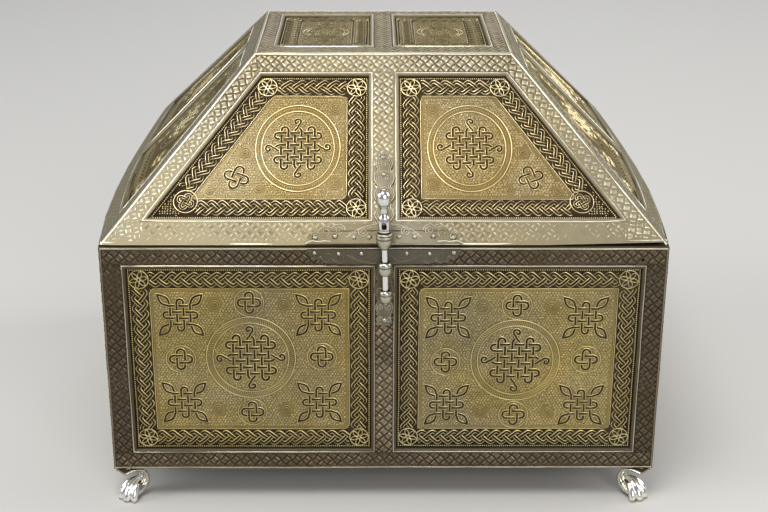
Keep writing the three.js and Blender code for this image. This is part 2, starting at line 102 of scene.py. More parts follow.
def top_seats():
    o, f, b = TOP_W / 2 - TOP_SIDE, -TOP_D / 2 + TOP_FRONT, TOP_D / 2 - TOP_BACK
    return [[(-o, f), (-TOP_IN, f), (-TOP_IN, b), (-o, b)], [(TOP_IN, f), (o, f), (o, b), (TOP_IN, b)]]


# ------------------------------------------------------------------ mesh store
class Buf:
    """Vertices with a tone (0: painted shade in crevices and grooves .. 1: painted highlight on the tops, which are
    also the rubbed places) and quads and triangles.
    """

    def __init__(self):
        self.v, self.t, self.uv, self.q, self.f, self.n = [], [], [], [], [], 0

    def add(self, verts, tone, quads=None, tris=None, uv=None):
        verts = np.asarray(verts, float).reshape(-1, 3)
        k = len(verts)
        self.v.append(verts)
        self.t.append(np.broadcast_to(np.asarray(tone, float), (k,)).copy())
        self.uv.append(np.zeros((k, 2)) if uv is None else np.asarray(uv, float).reshape(-1, 2))
        if quads is not None and len(quads):
            self.q.append(np.asarray(quads, np.int64).reshape(-1, 4) + self.n)
        if tris is not None and len(tris):
            self.f.append(np.asarray(tris, np.int64).reshape(-1, 3) + self.n)
        self.n += k

    def place(self, face, other=None):
        """Turn this store's (u, v, n) into world millimetres, into other if given."""
        out = other or Buf()
        if self.n:
            out.add(face.world(np.concatenate(self.v)), np.concatenate(self.t),
                    np.concatenate(self.q) if self.q else None,
                    np.concatenate(self.f) if self.f else None, np.concatenate(self.uv))
        return out

    def count(self):
        return 2 * sum(len(q) for q in self.q) + sum(len(f) for f in self.f)


def handmade(p):
    """A slow wander of about a tenth of a millimetre, the same for all pieces."""
    x, y, z = p[:, 0], p[:, 1], p[:, 2]
    d = np.stack([
        np.sin(y * 0.11 + 0.7) + np.sin(z * 0.17 + x * 0.05) + 0.6 * np.sin(x * 0.31 + z * 0.27 + 1.0),
        np.sin(x * 0.09 + 1.9) + np.sin(z * 0.14 + y * 0.06 + 0.4) + 0.6 * np.sin(y * 0.29 - z * 0.33),
        np.sin(x * 0.07 + 0.3) + np.sin(y * 0.08 + x * 0.04 + 2.0) + 0.6 * np.sin(x * 0.23 + y * 0.21),
    ], 1)
    return p + d * 0.045


def bellied(p):
    """Both sides of the casket belly outwards, most at the rim and a little forward of the middle."""
    x, y, z = p[:, 0], p[:, 1], p[:, 2]
    lid = z > Z1 + 0.25
    h = np.clip(np.where(lid, (z - ZL) / LID_H, (Z1 - z) / BOX_H), 0, 1)
    run = np.where(lid, INSET * h, 0.0)
    s = np.clip(y / (DEPTH / 2 - run), -1, 1)
    fall = np.where(s < -0.17, np.clip((-0.17 - s) / 0.83, 0, 1) ** 2.2, np.clip((s + 0.17) / 1.17, 0, 1) ** 1.6)
    near = np.clip((np.abs(x) / (WIDTH / 2 - run) - 0.6) / 0.25, 0, 1)
    out = p.copy()
    out[:, 0] += np.sign(x) * 3.8 * (1 - h) * (1 - fall) * near
    return out


def make(name, buf, material, replaces=(), wander=True, smooth=True):
    p = bellied(np.concatenate(buf.v))
    if wander:
        p = handmade(p)
    p = p * 0.001
    quads = np.concatenate(buf.q) if buf.q else np.zeros((0, 4), np.int64)
    tris = np.concatenate(buf.f) if buf.f else np.zeros((0, 3), np.int64)
    me = bpy.data.meshes.new(name)
    me.vertices.add(len(p))
    me.vertices.foreach_set("co", p.astype(np.float32).ravel())
    loops = np.concatenate([quads.ravel(), tris.ravel()]).astype(np.int32)
    me.loops.add(len(loops))
    me.loops.foreach_set("vertex_index", loops)
    starts = np.concatenate([np.arange(len(quads)) * 4, len(quads) * 4 + np.arange(len(tris)) * 3]).astype(np.int32)
    me.polygons.add(len(starts))
    me.polygons.foreach_set("loop_start", starts)
    me.polygons.foreach_set("use_smooth", np.full(len(starts), smooth))
    at = me.attributes.new("tone", "FLOAT", "POINT")
    at.data.foreach_set("value", np.concatenate(buf.t).astype(np.float32))
    uvl = me.uv_layers.new(name="UVMap")
    uv = np.concatenate(buf.uv)[loops]
    uvl.data.foreach_set("uv", uv.astype(np.float32).ravel())
    me.update(calc_edges=True)
    me.validate()
    ob = bpy.data.objects.new(name, me)
    bpy.context.scene.collection.objects.link(ob)
    me.materials.append(material)
    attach(ob, "root")
    if replaces:
        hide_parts(*replaces)
    COUNTS[name] = buf.count()
    return ob


COUNTS = {}


# ------------------------------------------------------------------ drawing tools
def resample(pts, step, closed=False):
    pts = np.asarray(pts, float)
    if closed:
        pts = np.vstack([pts, pts[:1]])
    seg = np.linalg.norm(np.diff(pts[:, :2], axis=0), axis=1)
    s = np.concatenate([[0], np.cumsum(seg)])
    n = max(2, int(round(s[-1] / step)) + 1)
    t = np.linspace(0, s[-1], n)
    out = np.stack([np.interp(t, s, pts[:, i]) for i in range(pts.shape[1])], 1)
    return out[:-1] if closed else out


def sweep(buf, pts, prof, z=0.0, closed=False, dim=1.0):
    """A profile [(offset, height, tone)] drawn along a flat path."""
    pts = np.asarray(pts, float)[:, :2]
    k, m = len(pts), len(prof)
    z = np.broadcast_to(np.asarray(z, float), (k,))
    dim = np.broadcast_to(np.asarray(dim, float), (k,))
    if closed:
        d1 = pts - np.roll(pts, 1, 0)
        d2 = np.roll(pts, -1, 0) - pts
    else:
        d = np.diff(pts, axis=0)
        d1 = np.vstack([d[:1], d])
        d2 = np.vstack([d, d[-1:]])
    d1 = d1 / np.maximum(np.linalg.norm(d1, axis=1, keepdims=True), 1e-9)
    d2 = d2 / np.maximum(np.linalg.norm(d2, axis=1, keepdims=True), 1e-9)
    n1 = np.stack([-d1[:, 1], d1[:, 0]], 1)
    n2 = np.stack([-d2[:, 1], d2[:, 0]], 1)
    nb = n1 + n2
    nb /= np.maximum(np.linalg.norm(nb, axis=1, keepdims=True), 1e-9)
    mitre = 1 / np.maximum((nb * n1).sum(1), 0.62)
    off = np.array([p[0] for p in prof])
    hgt = np.array([p[1] for p in prof])
    ton = np.array([p[2] for p in prof])
    uv = pts[:, None, :] + nb[:, None, :] * (off[None, :] * mitre[:, None])[:, :, None]
    h = hgt[None, :] + z[:, None]
    v = np.concatenate([uv, h[:, :, None]], 2).reshape(-1, 3)
    tone = (ton[None, :] * dim[:, None]).ravel()
    i = np.arange(k if closed else k - 1)[:, None]
    j = np.arange(m - 1)[None, :]
    a, b = i * m + j, ((i + 1) % k) * m + j
    buf.add(v, tone, quads=np.stack([a, b, b + 1, a + 1], 2).reshape(-1, 4))


def arc(cx, cy, r, a0, a1, n, ry=None):
    t = np.radians(np.linspace(a0, a1, n))
    return np.stack([cx + r * np.cos(t), cy + (ry or r) * np.sin(t)], 1)


PT = -1.05                              # top of the panel plate


def strand_profile(w, top=0.58, tone=1.0):
    """Two wires with a groove between them; tone 0 at the base and in the groove is painted shade, the full tone on the
    wire tops painted highlight.
    """
    b, g, t = PT - 0.25, PT + 0.14, PT + top
    return [(-w / 2, b, 0.0), (-w * 0.365, t, tone), (-w * 0.2, g, 0.0), (w * 0.2, g, 0.0), (w * 0.365, t, tone), (w / 2, b, 0.0)]


def wire_profile(w, top=0.42, tone=1.0, base=None):
    b = PT - 0.06 if base is None else base
    # tone 0 at the foot, the full tone on the crown: painted shade and painted highlight across the wire
    return [(-w / 2, b, 0.0), (0.0, b + 0.06 + top, tone), (w / 2, b, 0.0)]


def strand(buf, pts, z=0.0, w=1.5, closed=False, top=0.58, tone=1.0):
    """z: +1 where the strand is uppermost, -1 where it passes under."""
    z = np.asarray(z, float)
    # where the strand passes under, its tone is dimmed, down to a fifth: painted shade under the crossing strand
    dim = np.clip(1.0 + 0.75 * np.minimum(z, 0), 0.2, 1.0) if z.ndim else 1.0
    z = np.where(z > 0, 0.16 * z, 0.42 * z)
    sweep(buf, pts, strand_profile(w, top, tone), z, closed, dim)


def wire(buf, pts, w=0.42, top=0.42, closed=False, tone=1.0, z=0.0, base=None):
    sweep(buf, pts, wire_profile(w, top, tone, base), z, closed)


HEX = np.radians(np.arange(6) * 60.0)


def domes(buf, c, r, h, base=PT, tone=1.0, edge=0.1, turn=0.0):
    """Small six-sided grains at centres c."""
    c = np.asarray(c, float).reshape(-1, 2)
    if not len(c):
        return
    n = len(c)
    r = np.broadcast_to(np.asarray(r, float), (n,))
    ring = np.stack([np.cos(HEX + turn), np.sin(HEX + turn)], 1)
    p = c[:, None, :] + ring[None] * r[:, None, None]
    v = np.zeros((n, 7, 3))
    v[:, :6, :2] = p
    v[:, :6, 2] = base
    v[:, 6, :2] = c
    v[:, 6, 2] = base + h
    t = np.zeros((n, 7))
    # rim at the edge tone, apex at the full tone: painted shade at the grain's foot, painted highlight on its top
    t[:, :6] = edge
    t[:, 6] = tone
    idx = np.arange(n)[:, None] * 7
    tri = np.stack([np.stack([idx[:, 0] + k, idx[:, 0] + (k + 1) % 6, idx[:, 0] + 6], 1) for k in range(6)], 1)
    buf.add(v.reshape(-1, 3), t.ravel(), tris=tri.reshape(-1, 3))


def beads(buf, pts, pitch=0.8, r=0.37, h=0.4, base=PT, closed=False, tone=1.0):
    domes(buf, resample(pts, pitch, closed), r, h, base, tone)


# a curl of wire, drawn once and laid many times
def curl_template(turns=1.35, r0=0.2, r1=0.78, n=10, w=0.3):
    b = Buf()
    t = np.linspace(0, 1, n)
    a = t * turns * 2 * math.pi
    r = r0 + (r1 - r0) * t
    wire(b, np.stack([r * np.cos(a), r * np.sin(a)], 1), w=w, top=0.36)
    return np.concatenate(b.v), np.concatenate(b.t), np.concatenate(b.q)


CURL = curl_template(turns=1.25, r0=0.1, r1=0.48, n=8, w=0.27)


def lay(buf, template, centres, angles, sizes, flips, lift=0.0):
    v, t, q = template
    n, k = len(centres), len(v)
    if not n:
        return
    ca, sa = np.cos(angles), np.sin(angles)
    x = v[None, :, 0] * sizes[:, None]
    y = v[None, :, 1] * (sizes * flips)[:, None]
    out = np.zeros((n, k, 3))
    out[:, :, 0] = centres[:, 0:1] + x * ca[:, None] - y * sa[:, None]
    out[:, :, 1] = centres[:, 1:2] + x * sa[:, None] + y * ca[:, None]
    out[:, :, 2] = v[None, :, 2] + lift
    quads = q[None] + (np.arange(n) * k)[:, None, None]
    flip = flips < 0
    quads[flip] = quads[flip][:, :, ::-1]
    buf.add(out.reshape(-1, 3), np.tile(t, n), quads=quads.reshape(-1, 4))


# ------------------------------------------------------------------ outlines
def inset_poly(poly, d):
    """Every side of a convex outline moved inwards by d."""
    p = np.asarray(poly, float)
    n = len(p)
    out = []
    for i in range(n):
        a, b, c = p[i - 1], p[i], p[(i + 1) % n]
        e1, e2 = (b - a) / np.linalg.norm(b - a), (c - b) / np.linalg.norm(c - b)
        n1, n2 = np.array([-e1[1], e1[0]]), np.array([-e2[1], e2[0]])
        out.append(b + (n1 + n2) * d / (1 + n1 @ n2))
    return np.array(out)


def inside(poly, pts, margin=0.0):
    p = np.asarray(poly, float)
    ok = np.ones(len(pts), bool)
    for i in range(len(p)):
        a, b = p[i], p[(i + 1) % len(p)]
        e = (b - a) / np.linalg.norm(b - a)
        ok &= (-(pts[:, 0] - a[0]) * e[1] + (pts[:, 1] - a[1]) * e[0]) > margin
    return ok


class Mask:
    """Where the larger ornament lies, so that the ground fills only the rest."""

    def __init__(self, poly, cell=0.25):
        p = np.asarray(poly, float)
        self.lo, self.cell = p.min(0) - 2, cell
        self.n = np.ceil((p.max(0) + 2 - self.lo) / cell).astype(int)
        self.m = np.zeros(self.n, bool)

    def line(self, pts, r):
        pts = resample(pts, 0.3)[:, :2]
        k = int(math.ceil(r / self.cell))
        o = np.array([(i, j) for i in range(-k, k + 1) for j in range(-k, k + 1) if i * i + j * j <= (r / self.cell) ** 2])
        idx = np.round((pts - self.lo) / self.cell).astype(int)[:, None, :] + o[None]
        idx = idx.reshape(-1, 2)
        ok = ((idx >= 0) & (idx < self.n)).all(1)
        self.m[idx[ok, 0], idx[ok, 1]] = True

    def disc(self, c, r):
        g = np.stack(np.meshgrid(np.arange(self.n[0]), np.arange(self.n[1]), indexing="ij"), -1) * self.cell + self.lo
        self.m |= np.hypot(g[..., 0] - c[0], g[..., 1] - c[1]) < r

    def free(self, pts):
        idx = np.round((pts - self.lo) / self.cell).astype(int)
        idx = np.clip(idx, 0, self.n - 1)
        return ~self.m[idx[:, 0], idx[:, 1]]


# ------------------------------------------------------------------ plaited border
def over(phase, hand):
    """Height of a plait strand against its phase: 1/6 and 1/3 on the way in, 2/3 and 5/6 on the way out."""
    key = np.array([0, 1 / 6, 1 / 3, 1 / 2, 2 / 3, 5 / 6, 1])
    val = np.array([0, 1, -1, 0, 1, -1, 0]) * hand
    p = np.mod(phase, 1.0)
    i = np.clip(np.searchsorted(key, p, side="right") - 1, 0, 5)
    f = (p - key[i]) / (key[i + 1] - key[i])
    f = f * f * (3 - 2 * f)
    return val[i] + (val[i + 1] - val[i]) * f


def plait(buf, a, b, hand, amp=2.32, pitch=3.9, w=1.52, mask=None, top=0.58):
    """Three double wires plaited from a to b; the outer edge is to the right."""
    a, b = np.asarray(a, float), np.asarray(b, float)
    length = np.linalg.norm(b - a)
    if length < 3:
        return
    d = (b - a) / length
    out = np.array([d[1], -d[0]])
    q = length / max(1, round(length / pitch))
    period = 3 * q
    steps = max(6, int(length / 0.55))
    s = np.linspace(0, length, steps)
    for k in range(3):
        ph = (s - k * q) / period + 0.04
        t = np.arcsin(0.975 * np.cos(2 * np.pi * ph)) / math.asin(0.975) * amp
        t = t + 0.07 * np.sin(s * 1.3 + k * 2 + a[0])
        pts = a + np.outer(s, d) + np.outer(t, out)
        strand(buf, pts, over(ph, hand), w, top=top)
        if mask is not None:
            mask.line(pts, 0.8)


def rosette(buf, c, r, w=0.46, turn=0.0):
    """Circle with six petals struck with the same radius."""
    wire(buf, arc(c[0], c[1], r, 0, 360, 33)[:-1], w=0.56, closed=True, top=0.55)
    for k in range(6):
        a = math.radians(turn + 60 * k)
        d, q = np.array([math.cos(a), math.sin(a)]), np.array([-math.sin(a), math.cos(a)])
        t = np.linspace(0, 1, 9)
        half = 0.2 * r * np.sin(np.pi * t ** 0.9)
        run = 0.14 * r + t * 0.84 * r
        for sgn in (1, -1):
            wire(buf, np.asarray(c) + np.outer(run, d) + np.outer(half * sgn, q), w=w, top=0.46)
        # short struts between the petals
        b = a + math.radians(30)
        e = np.array([math.cos(b), math.sin(b)])
        wire(buf, [np.asarray(c) + e * r * 0.1, np.asarray(c) + e * r * 0.4], w=w, top=0.4)


def ring_band(buf, c, r_out, r_in, ribs=True, sy=1.0, mask=None, count=64):
    for r, w, top in ((r_out, 0.75, 0.52), (r_in, 0.65, 0.5)):
        wire(buf, arc(c[0], c[1], r, 0, 360, count + 1, r * sy)[:-1], w=w, closed=True, top=top)
        if mask is not None:
            mask.line(arc(c[0], c[1], r, 0, 360, count + 1, r * sy), 0.55)
    if ribs:
        n = int(2 * math.pi * r_out / 0.82)
        for i in range(n):
            a = 2 * math.pi * i / n
            r0, r1 = r_in + 0.35, r_out - 0.4
            ca, sa = math.cos(a), math.sin(a) * sy
            sk = 0.05
            wire(buf, [(c[0] + r0 * ca, c[1] + r0 * sa), (c[0] + r1 * math.cos(a + sk), c[1] + r1 * math.sin(a + sk) * sy)], w=0.44, top=0.34, tone=0.85)
    else:
        r = (r_in + r_out) / 2
        beads(buf, arc(c[0], c[1], r, 0, 360, 90, r * sy)[:-1], pitch=0.85, r=0.42, h=0.36, closed=True, tone=0.9)
    if mask is not None:
        for r in np.arange(r_in, r_out, 0.8):
            mask.line(arc(c[0], c[1], r, 0, 360, count + 1, r * sy), 0.6)


# ------------------------------------------------------------------ knots
def weave(count, pitch):
    return [(i - (count - 1) / 2) * pitch for i in range(count)]


def turned(pts, k):
    pts = np.asarray(pts, float)
    for _ in range(k):
        pts = np.stack([-pts[:, 1], pts[:, 0]], 1)
    return pts


def put(buf, pts, c, size, z=0.0, w=1.5, mask=None, closed=False, top=0.58, angle=0.0, flip=1):
    pts = np.asarray(pts, float) * size
    pts = pts * np.array([flip, 1])
    ca, sa = math.cos(angle), math.sin(angle)
    pts = np.stack([pts[:, 0] * ca - pts[:, 1] * sa, pts[:, 0] * sa + pts[:, 1] * ca], 1) + np.asarray(c)
    strand(buf, pts, z, w, closed, top)
    if mask is not None:
        mask.line(np.vstack([pts, pts[:1]]) if closed else pts, w / 2 + 0.12)


def lattice(buf, c, count, pitch, size, w, mask, tail=0.7, angle=0.0, flip=1, top=0.58):
    """Plain basket weave of count by count double wires."""
    ps = weave(count, pitch)
    end = ps[-1] + tail
    for i, p in enumerate(ps):
        marks, zs = [-end], [0.0]
        for j, r in enumerate(ps):
            marks.append(r)
            zs.append(1.0 if (i + j) % 2 == 0 else -1.0)
            if j < count - 1:
                marks.append(r + pitch / 2)
                zs.append(0.0)
        marks.append(end)
        zs.append(0.0)
        marks, zs = np.array(marks), np.array(zs)
        t = np.linspace(-end, end, int(2 * end / 0.65) + 1)
        zv = np.interp(t, marks, zs)
        put(buf, np.stack([np.full_like(t, p), t], 1), c, size, zv, w, mask, angle=angle, flip=flip, top=top)
        put(buf, np.stack([t, np.full_like(t, p)], 1), c, size, -zv, w, mask, angle=angle, flip=flip, top=top)


def smooth(pts, n):
    """A rounded path through a few points."""
    p = np.asarray(pts, float)
    q = np.vstack([2 * p[0] - p[1], p, 2 * p[-1] - p[-2]])
    out = []
    for i in range(len(p) - 1):
        for t in np.linspace(0, 1, n, endpoint=False):
            a, b, c, d = q[i], q[i + 1], q[i + 2], q[i + 3]
            out.append(0.5 * ((2 * b) + (-a + c) * t + (2 * a - 5 * b + 4 * c - d) * t * t + (-a + 3 * b - 3 * c + d) * t ** 3))
    out.append(p[-1])
    return np.array(out)


def big_knot(buf, c, size, mask, w=1.5, flip=1):
    """Six by six weave, round loops in pairs and a hooked curl on each side."""
    pitch = 2.6
    lattice(buf, c, 6, pitch, size, w, mask, tail=0.75, flip=flip)
    ps = weave(6, pitch)
    e = ps[-1] + 0.75
    for k in range(4):
        for i in (0, 4):
            m = (ps[i] + ps[i + 1]) / 2
            y1 = e + 0.55
            loop = np.vstack([[(ps[i], e)], arc(m, y1, pitch / 2, 180, 0, 8), [(ps[i + 1], e)]])
            put(buf, turned(loop, k), c, size, 0.0, w, mask, flip=flip)
        stem = smooth([(ps[2], e), (ps[2] + 0.25, e + 0.7), (-0.25, e + 1.6), (0.2, e + 2.6), (0.9, e + 3.6), (0.75, e + 4.9), (-0.45, e + 5.2), (-1.35, e + 4.5), (-1.05, e + 3.5), (-0.3, e + 3.7)], 3)
        side = smooth([(ps[3], e), (ps[3] - 0.25, e + 0.7), (0.42, e + 1.35)], 3)
        put(buf, turned(side, k), c, size, -0.2, w, mask, flip=flip)
        put(buf, turned(stem, k), c, size, 0.1, w * 0.9, mask, flip=flip)


def leaf_loop(a=3.9, tail=0.7, tip=8.5, bulge=1.5, n=8):
    """From the end of the last upright to the end of the last level strand, round a pointed eye."""
    root = np.array([a + 0.35, a + 0.35])
    d = np.array([1, 1]) / math.sqrt(2)
    s = np.array([-1, 1]) / math.sqrt(2)
    length = (tip - a - 0.35) * math.sqrt(2)
    t = np.linspace(0.12, 1, n)
    prof = np.sin(np.pi * t ** 0.85) * bulge
    out = [root + d * (ti * length) + s * bi for ti, bi in zip(t, prof)]
    back = [root + d * (ti * length) - s * bi for ti, bi in zip(t[::-1], prof[::-1])]
    return np.vstack([[(a, a + tail)], out, back[1:], [(a + tail, a)]])


def corner_knot(buf, c, size, mask, w=1.46, flip=1):
    """Four by four weave with four round loops and four pointed leaves."""
    pitch = 2.6
    lattice(buf, c, 4, pitch, size, w, mask, tail=0.7, flip=flip)
    ps = weave(4, pitch)
    e = ps[-1] + 0.7
    for k in range(4):
        y1 = e + 0.75
        loop = np.vstack([[(ps[1], e)], arc(0, y1, pitch / 2, 180, 0, 8), [(ps[2], e)]])
        put(buf, turned(loop, k), c, size, 0.0, w, mask, flip=flip)
        put(buf, turned(leaf_loop(), k), c, size, 0.0, w, mask, flip=flip)


def small_knot(buf, c, size, mask, w=1.4, angle=0.0, flip=1):
    """Two by two weave with four round loops."""
    pitch = 2.35
    lattice(buf, c, 2, pitch, size, w, mask, tail=0.5, angle=angle, flip=flip)
    e = pitch / 2 + 0.5
    for k in range(4):
        loop = np.vstack([[(-pitch / 2, e)], arc(0, e + 0.45, pitch / 2, 180, 0, 7), [(pitch / 2, e)]])
        put(buf, turned(loop, k), c, size, 0.0, w, mask, angle=angle, flip=flip)


def roundel(buf, c, r, mask, size=1.0, angle=0.0, flip=1):
    small_knot(buf, c, size, mask, w=1.36 if size > 1 else 1.15, angle=angle, flip=flip)
    wire(buf, arc(c[0], c[1], r, 0, 360, 31)[:-1], w=0.55, closed=True, top=0.46)
    if mask is not None:
        mask.line(arc(c[0], c[1], r, 0, 360, 31), 0.5)


def boss(buf, c, r, mask, flip=1):
    """A coiled wire boss."""
    t = np.linspace(0, 1, int(12 * r))
    a = t * 2 * math.pi * (r / 0.95) * flip
    rr = 0.25 + (r - 0.25) * t
    wire(buf, np.stack([c[0] + rr * np.cos(a), c[1] + rr * np.sin(a)], 1), w=0.42, top=0.36, z=0.12 * (1 - t), tone=0.74)
    if mask is not None:
        mask.disc(c, r + 0.35)


# ------------------------------------------------------------------ ground
def ground_curls(buf, poly, mask, pitch=1.1):
    lo, hi = np.asarray(poly).min(0), np.asarray(poly).max(0)
    rows = []
    y, k = lo[1] + 0.8, 0
    while y < hi[1]:
        x = np.arange(lo[0] + (0.8 if k % 2 else 0.8 + pitch / 2), hi[0], pitch)
        rows.append(np.stack([x, np.full_like(x, y)], 1))
        y += pitch * 0.88
        k += 1
    c = np.concatenate(rows)
    c = c + RNG.uniform(-0.1, 0.1, c.shape)
    c = c[inside(poly, c, 0.5)]
    c = c[mask.free(c)]
    n = len(c)
    lay(buf, CURL, c, RNG.uniform(0, 2 * math.pi, n), RNG.uniform(0.88, 1.12, n), RNG.choice([-1.0, 1.0], n))


def ground_grains(buf, poly, mask, pitch=1.0):
    lo, hi = np.asarray(poly).min(0), np.asarray(poly).max(0)
    rows = []
    y, k = lo[1] + 0.5, 0
    while y < hi[1]:
        x = np.arange(lo[0] + (0.5 if k % 2 else 0.5 + pitch / 2), hi[0], pitch)
        rows.append(np.stack([x, np.full_like(x, y)], 1))
        y += pitch * 0.87
        k += 1
    c = np.concatenate(rows) if rows else np.zeros((0, 2))
    c = c + RNG.uniform(-0.1, 0.1, c.shape)
    c = c[inside(poly, c, 0.4)]
    c = c[mask.free(c)]
    domes(buf, c, RNG.uniform(0.32, 0.4, len(c)), 0.4, tone=0.95, edge=0.0)


def plate(buf, poly, field):
    """The panel's plate: a margin under the plait darkened as painted shade, a lighter field, and its edge down to the
    seat in painted shade.
    """
    p = np.asarray(poly, float)
    f = np.asarray(field, float)
    n = len(p)
    v = [(*a, PT) for a in p] + [(*a, -1.75) for a in p] + [(*a, PT) for a in f] + [(*a, PT + 0.02) for a in inset_poly(f, 0.4)]
    t = [0.12] * n + [0.0] * n + [0.12] * n + [0.4] * n
    quads = []
    for i in range(n):
        j = (i + 1) % n
        quads += [(i, j, 2 * n + j, 2 * n + i), (n + i, n + j, j, i), (2 * n + i, 2 * n + j, 3 * n + j, 3 * n + i)]
    buf.add(v, t, quads=quads + [tuple(3 * n + i for i in range(4))])
    # underside
    buf.add([(*a, -1.75) for a in p], 0.1, quads=[(3, 2, 1, 0)])


BORDER = 8.0


def frame_lines(buf, seat, border=BORDER, fine=True):
    outer = inset_poly(seat, 0.3)
    line = inset_poly(seat, 0.78)
    beads(buf, line, pitch=0.78 if fine else 0.95, r=0.4, h=0.46, closed=True)
    inner = inset_poly(seat, border)
    wire(buf, resample(inner, 3.0, True), w=0.5, closed=True, top=0.4, tone=0.95)
    beads(buf, inset_poly(seat, border + 0.55), pitch=0.78 if fine else 0.95, r=0.34, h=0.36, closed=True, tone=0.9)
    return outer, inner


def wall_panel(seat, side, rich):
    b = Buf()
    mask = Mask(seat)
    outer, inner = frame_lines(b, seat)
    plate(b, outer, inner)
    hand = 1 if side < 0 else -1
    lane = inset_poly(seat, 4.45)
    r = 3.45
    for i in range(4):
        a, c = lane[i], lane[(i + 1) % 4]
        d = (c - a) / np.linalg.norm(c - a)
        plait(b, a + d * (r + 0.15), c - d * (r + 0.15), hand)
    for i in range(4):
        rosette(b, lane[i], r, turn=14 * (1 if i % 2 else -1))
    seat = np.asarray(seat)
    cu, cv = seat[:, 0].mean(), seat[:, 1].mean()
    half = (seat[:, 0].max() - seat[:, 0].min()) / 2
    scale = min(1.0, half / 41.2)
    cu += -0.15 if side < 0 else -0.4
    cv += 1.0 if side < 0 else -0.2
    mr = 16.0 * (1.0 if scale > 0.97 else 0.96)
    ring_band(b, (cu, cv), mr, mr - 2.3, ribs=True, mask=mask)
    big_knot(b, (cu, cv), 0.98 if scale > 0.97 else 0.94, mask, flip=1 if side < 0 else -1)
    du, dv = 24.6 * (1 if scale > 0.97 else 0.83), 17.4
    for i in (-1, 1):
        for j in (-1, 1):
            corner_knot(b, (cu + i * du, cv + j * dv - 0.6), 0.92 if scale > 0.97 else 0.86, mask, w=1.36, flip=1 if side < 0 else -1)
    if rich:
        for i, j in ((0, 21.6), (0, -21.9), (-25.2, -0.6), (25.6, 0.4)):
            roundel(b, (cu + i, cv + j), 5.3, mask, size=1.22, flip=1 if side < 0 else -1)
        for i in (-1, 1):
            for j in (-1, 1):
                boss(b, (cu + i * 12.3, cv + j * 20.9), 2.6, mask, flip=i * j)
    field = inset_poly(seat, BORDER + 0.9)
    if rich:
        ground_curls(b, field, mask)
    else:
        ground_grains(b, field, mask)
    return b


def lane_end(a, d, node, reach):
    """First point of the lane a + s d that is clear of a node's circle."""
    rel = np.asarray(node) - a
    s0 = rel @ d
    off2 = rel @ rel - s0 * s0
    return s0 + math.sqrt(max(0.2, reach * reach - off2))


def slope_panel(seat, side, rich):
    b = Buf()
    mask = Mask(seat)
    outer, inner = frame_lines(b, seat)
    plate(b, outer, inner)
    hand = 1 if side < 0 else -1
    lane = inset_poly(seat, 4.45)
    r = 3.5
    seat = np.asarray(seat)
    sharp = 0 if side < 0 else 1                     # the acute lower corner
    nodes = [np.array(p) for p in lane]
    out = -1 if side < 0 else 1
    acute = seat[sharp] + np.array([-out * 13.4, 6.95])
    nodes[sharp] = acute
    for i in range(4):
        j = (i + 1) % 4
        a, c = lane[i], lane[j]
        d = (c - a) / np.linalg.norm(c - a)
        s0 = lane_end(a, d, nodes[i], (4.4 if i == sharp else r) + 0.25)
        s1 = np.linalg.norm(c - a) - lane_end(c, -d, nodes[j], (4.4 if j == sharp else r) + 0.25)
        plait(b, a + d * s0, a + d * s1, hand, mask=None)
    for i in range(4):
        if i != sharp:
            rosette(b, nodes[i], r, turn=10 * (1 if i % 2 else -1))
    roundel(b, acute, 4.25, mask, size=0.86, angle=math.radians(28) * out)
    wide = abs(seat[sharp, 0]) > 78
    mu = (31.0 if wide else 26.6) * out
    mv = 38.4
    rx = 15.2 if wide else 13.0
    sy = 1.13
    ring_band(b, (mu, mv), rx, rx - 2.1, ribs=False, sy=sy, mask=mask)
    big_knot(b, (mu, mv), rx / 16.4, mask, w=1.42, flip=1 if side < 0 else -1)
    if wide:
        small_knot(b, (52.6 * out, 26.7), 1.35, mask, w=1.3, angle=math.radians(20) * out, flip=out)
        spots = [(17.6, 54.4, 2.8), (17.4, 24.4, 2.8), (49.9, 36.7, 2.6), (44.5, 22.2, 2.0), (61.8, 21.5, 2.0)] if rich else []
    else:
        small_knot(b, (46.0 * out, 25.4), 1.15, mask, w=1.25, angle=math.radians(20) * out, flip=out)
        spots = [(16.4, 55.0, 2.4), (16.4, 22.6, 2.4)] if rich else []
    for u, v, rr in spots:
        boss(b, (u * out, v), rr, mask, flip=out)
    field = inset_poly(seat, BORDER + 0.9)
    (ground_curls if rich else ground_grains)(b, field, mask)
    # the tip beyond the roundel
    tip = inset_poly(seat, 1.3)
    m2 = Mask(seat)
    m2.disc(acute, 4.8)
    keep = np.array([seat[sharp] + np.array([0, 0]), seat[sharp] + np.array([-out * 14.5, 0]), seat[sharp] + np.array([-out * 14.5, 14.5])])
    g = RNG.uniform(-0.1, 0.1, (0, 2))
    gx, gy = np.meshgrid(np.arange(0.6, 15, 0.95), np.arange(0.6, 15, 0.9))
    g = np.stack([seat[sharp, 0] - out * gx.ravel(), seat[sharp, 1] + gy.ravel()], 1) + RNG.uniform(-0.14, 0.14, (gx.size, 2))
    near = np.hypot(g[:, 0] - seat[sharp, 0], g[:, 1] - seat[sharp, 1]) < np.hypot(*(acute - seat[sharp])) - 1.0
    g = g[near & inside(tip, g, 0.3) & m2.free(g)]
    domes(b, g, 0.42, 0.4, tone=0.9)
    return b


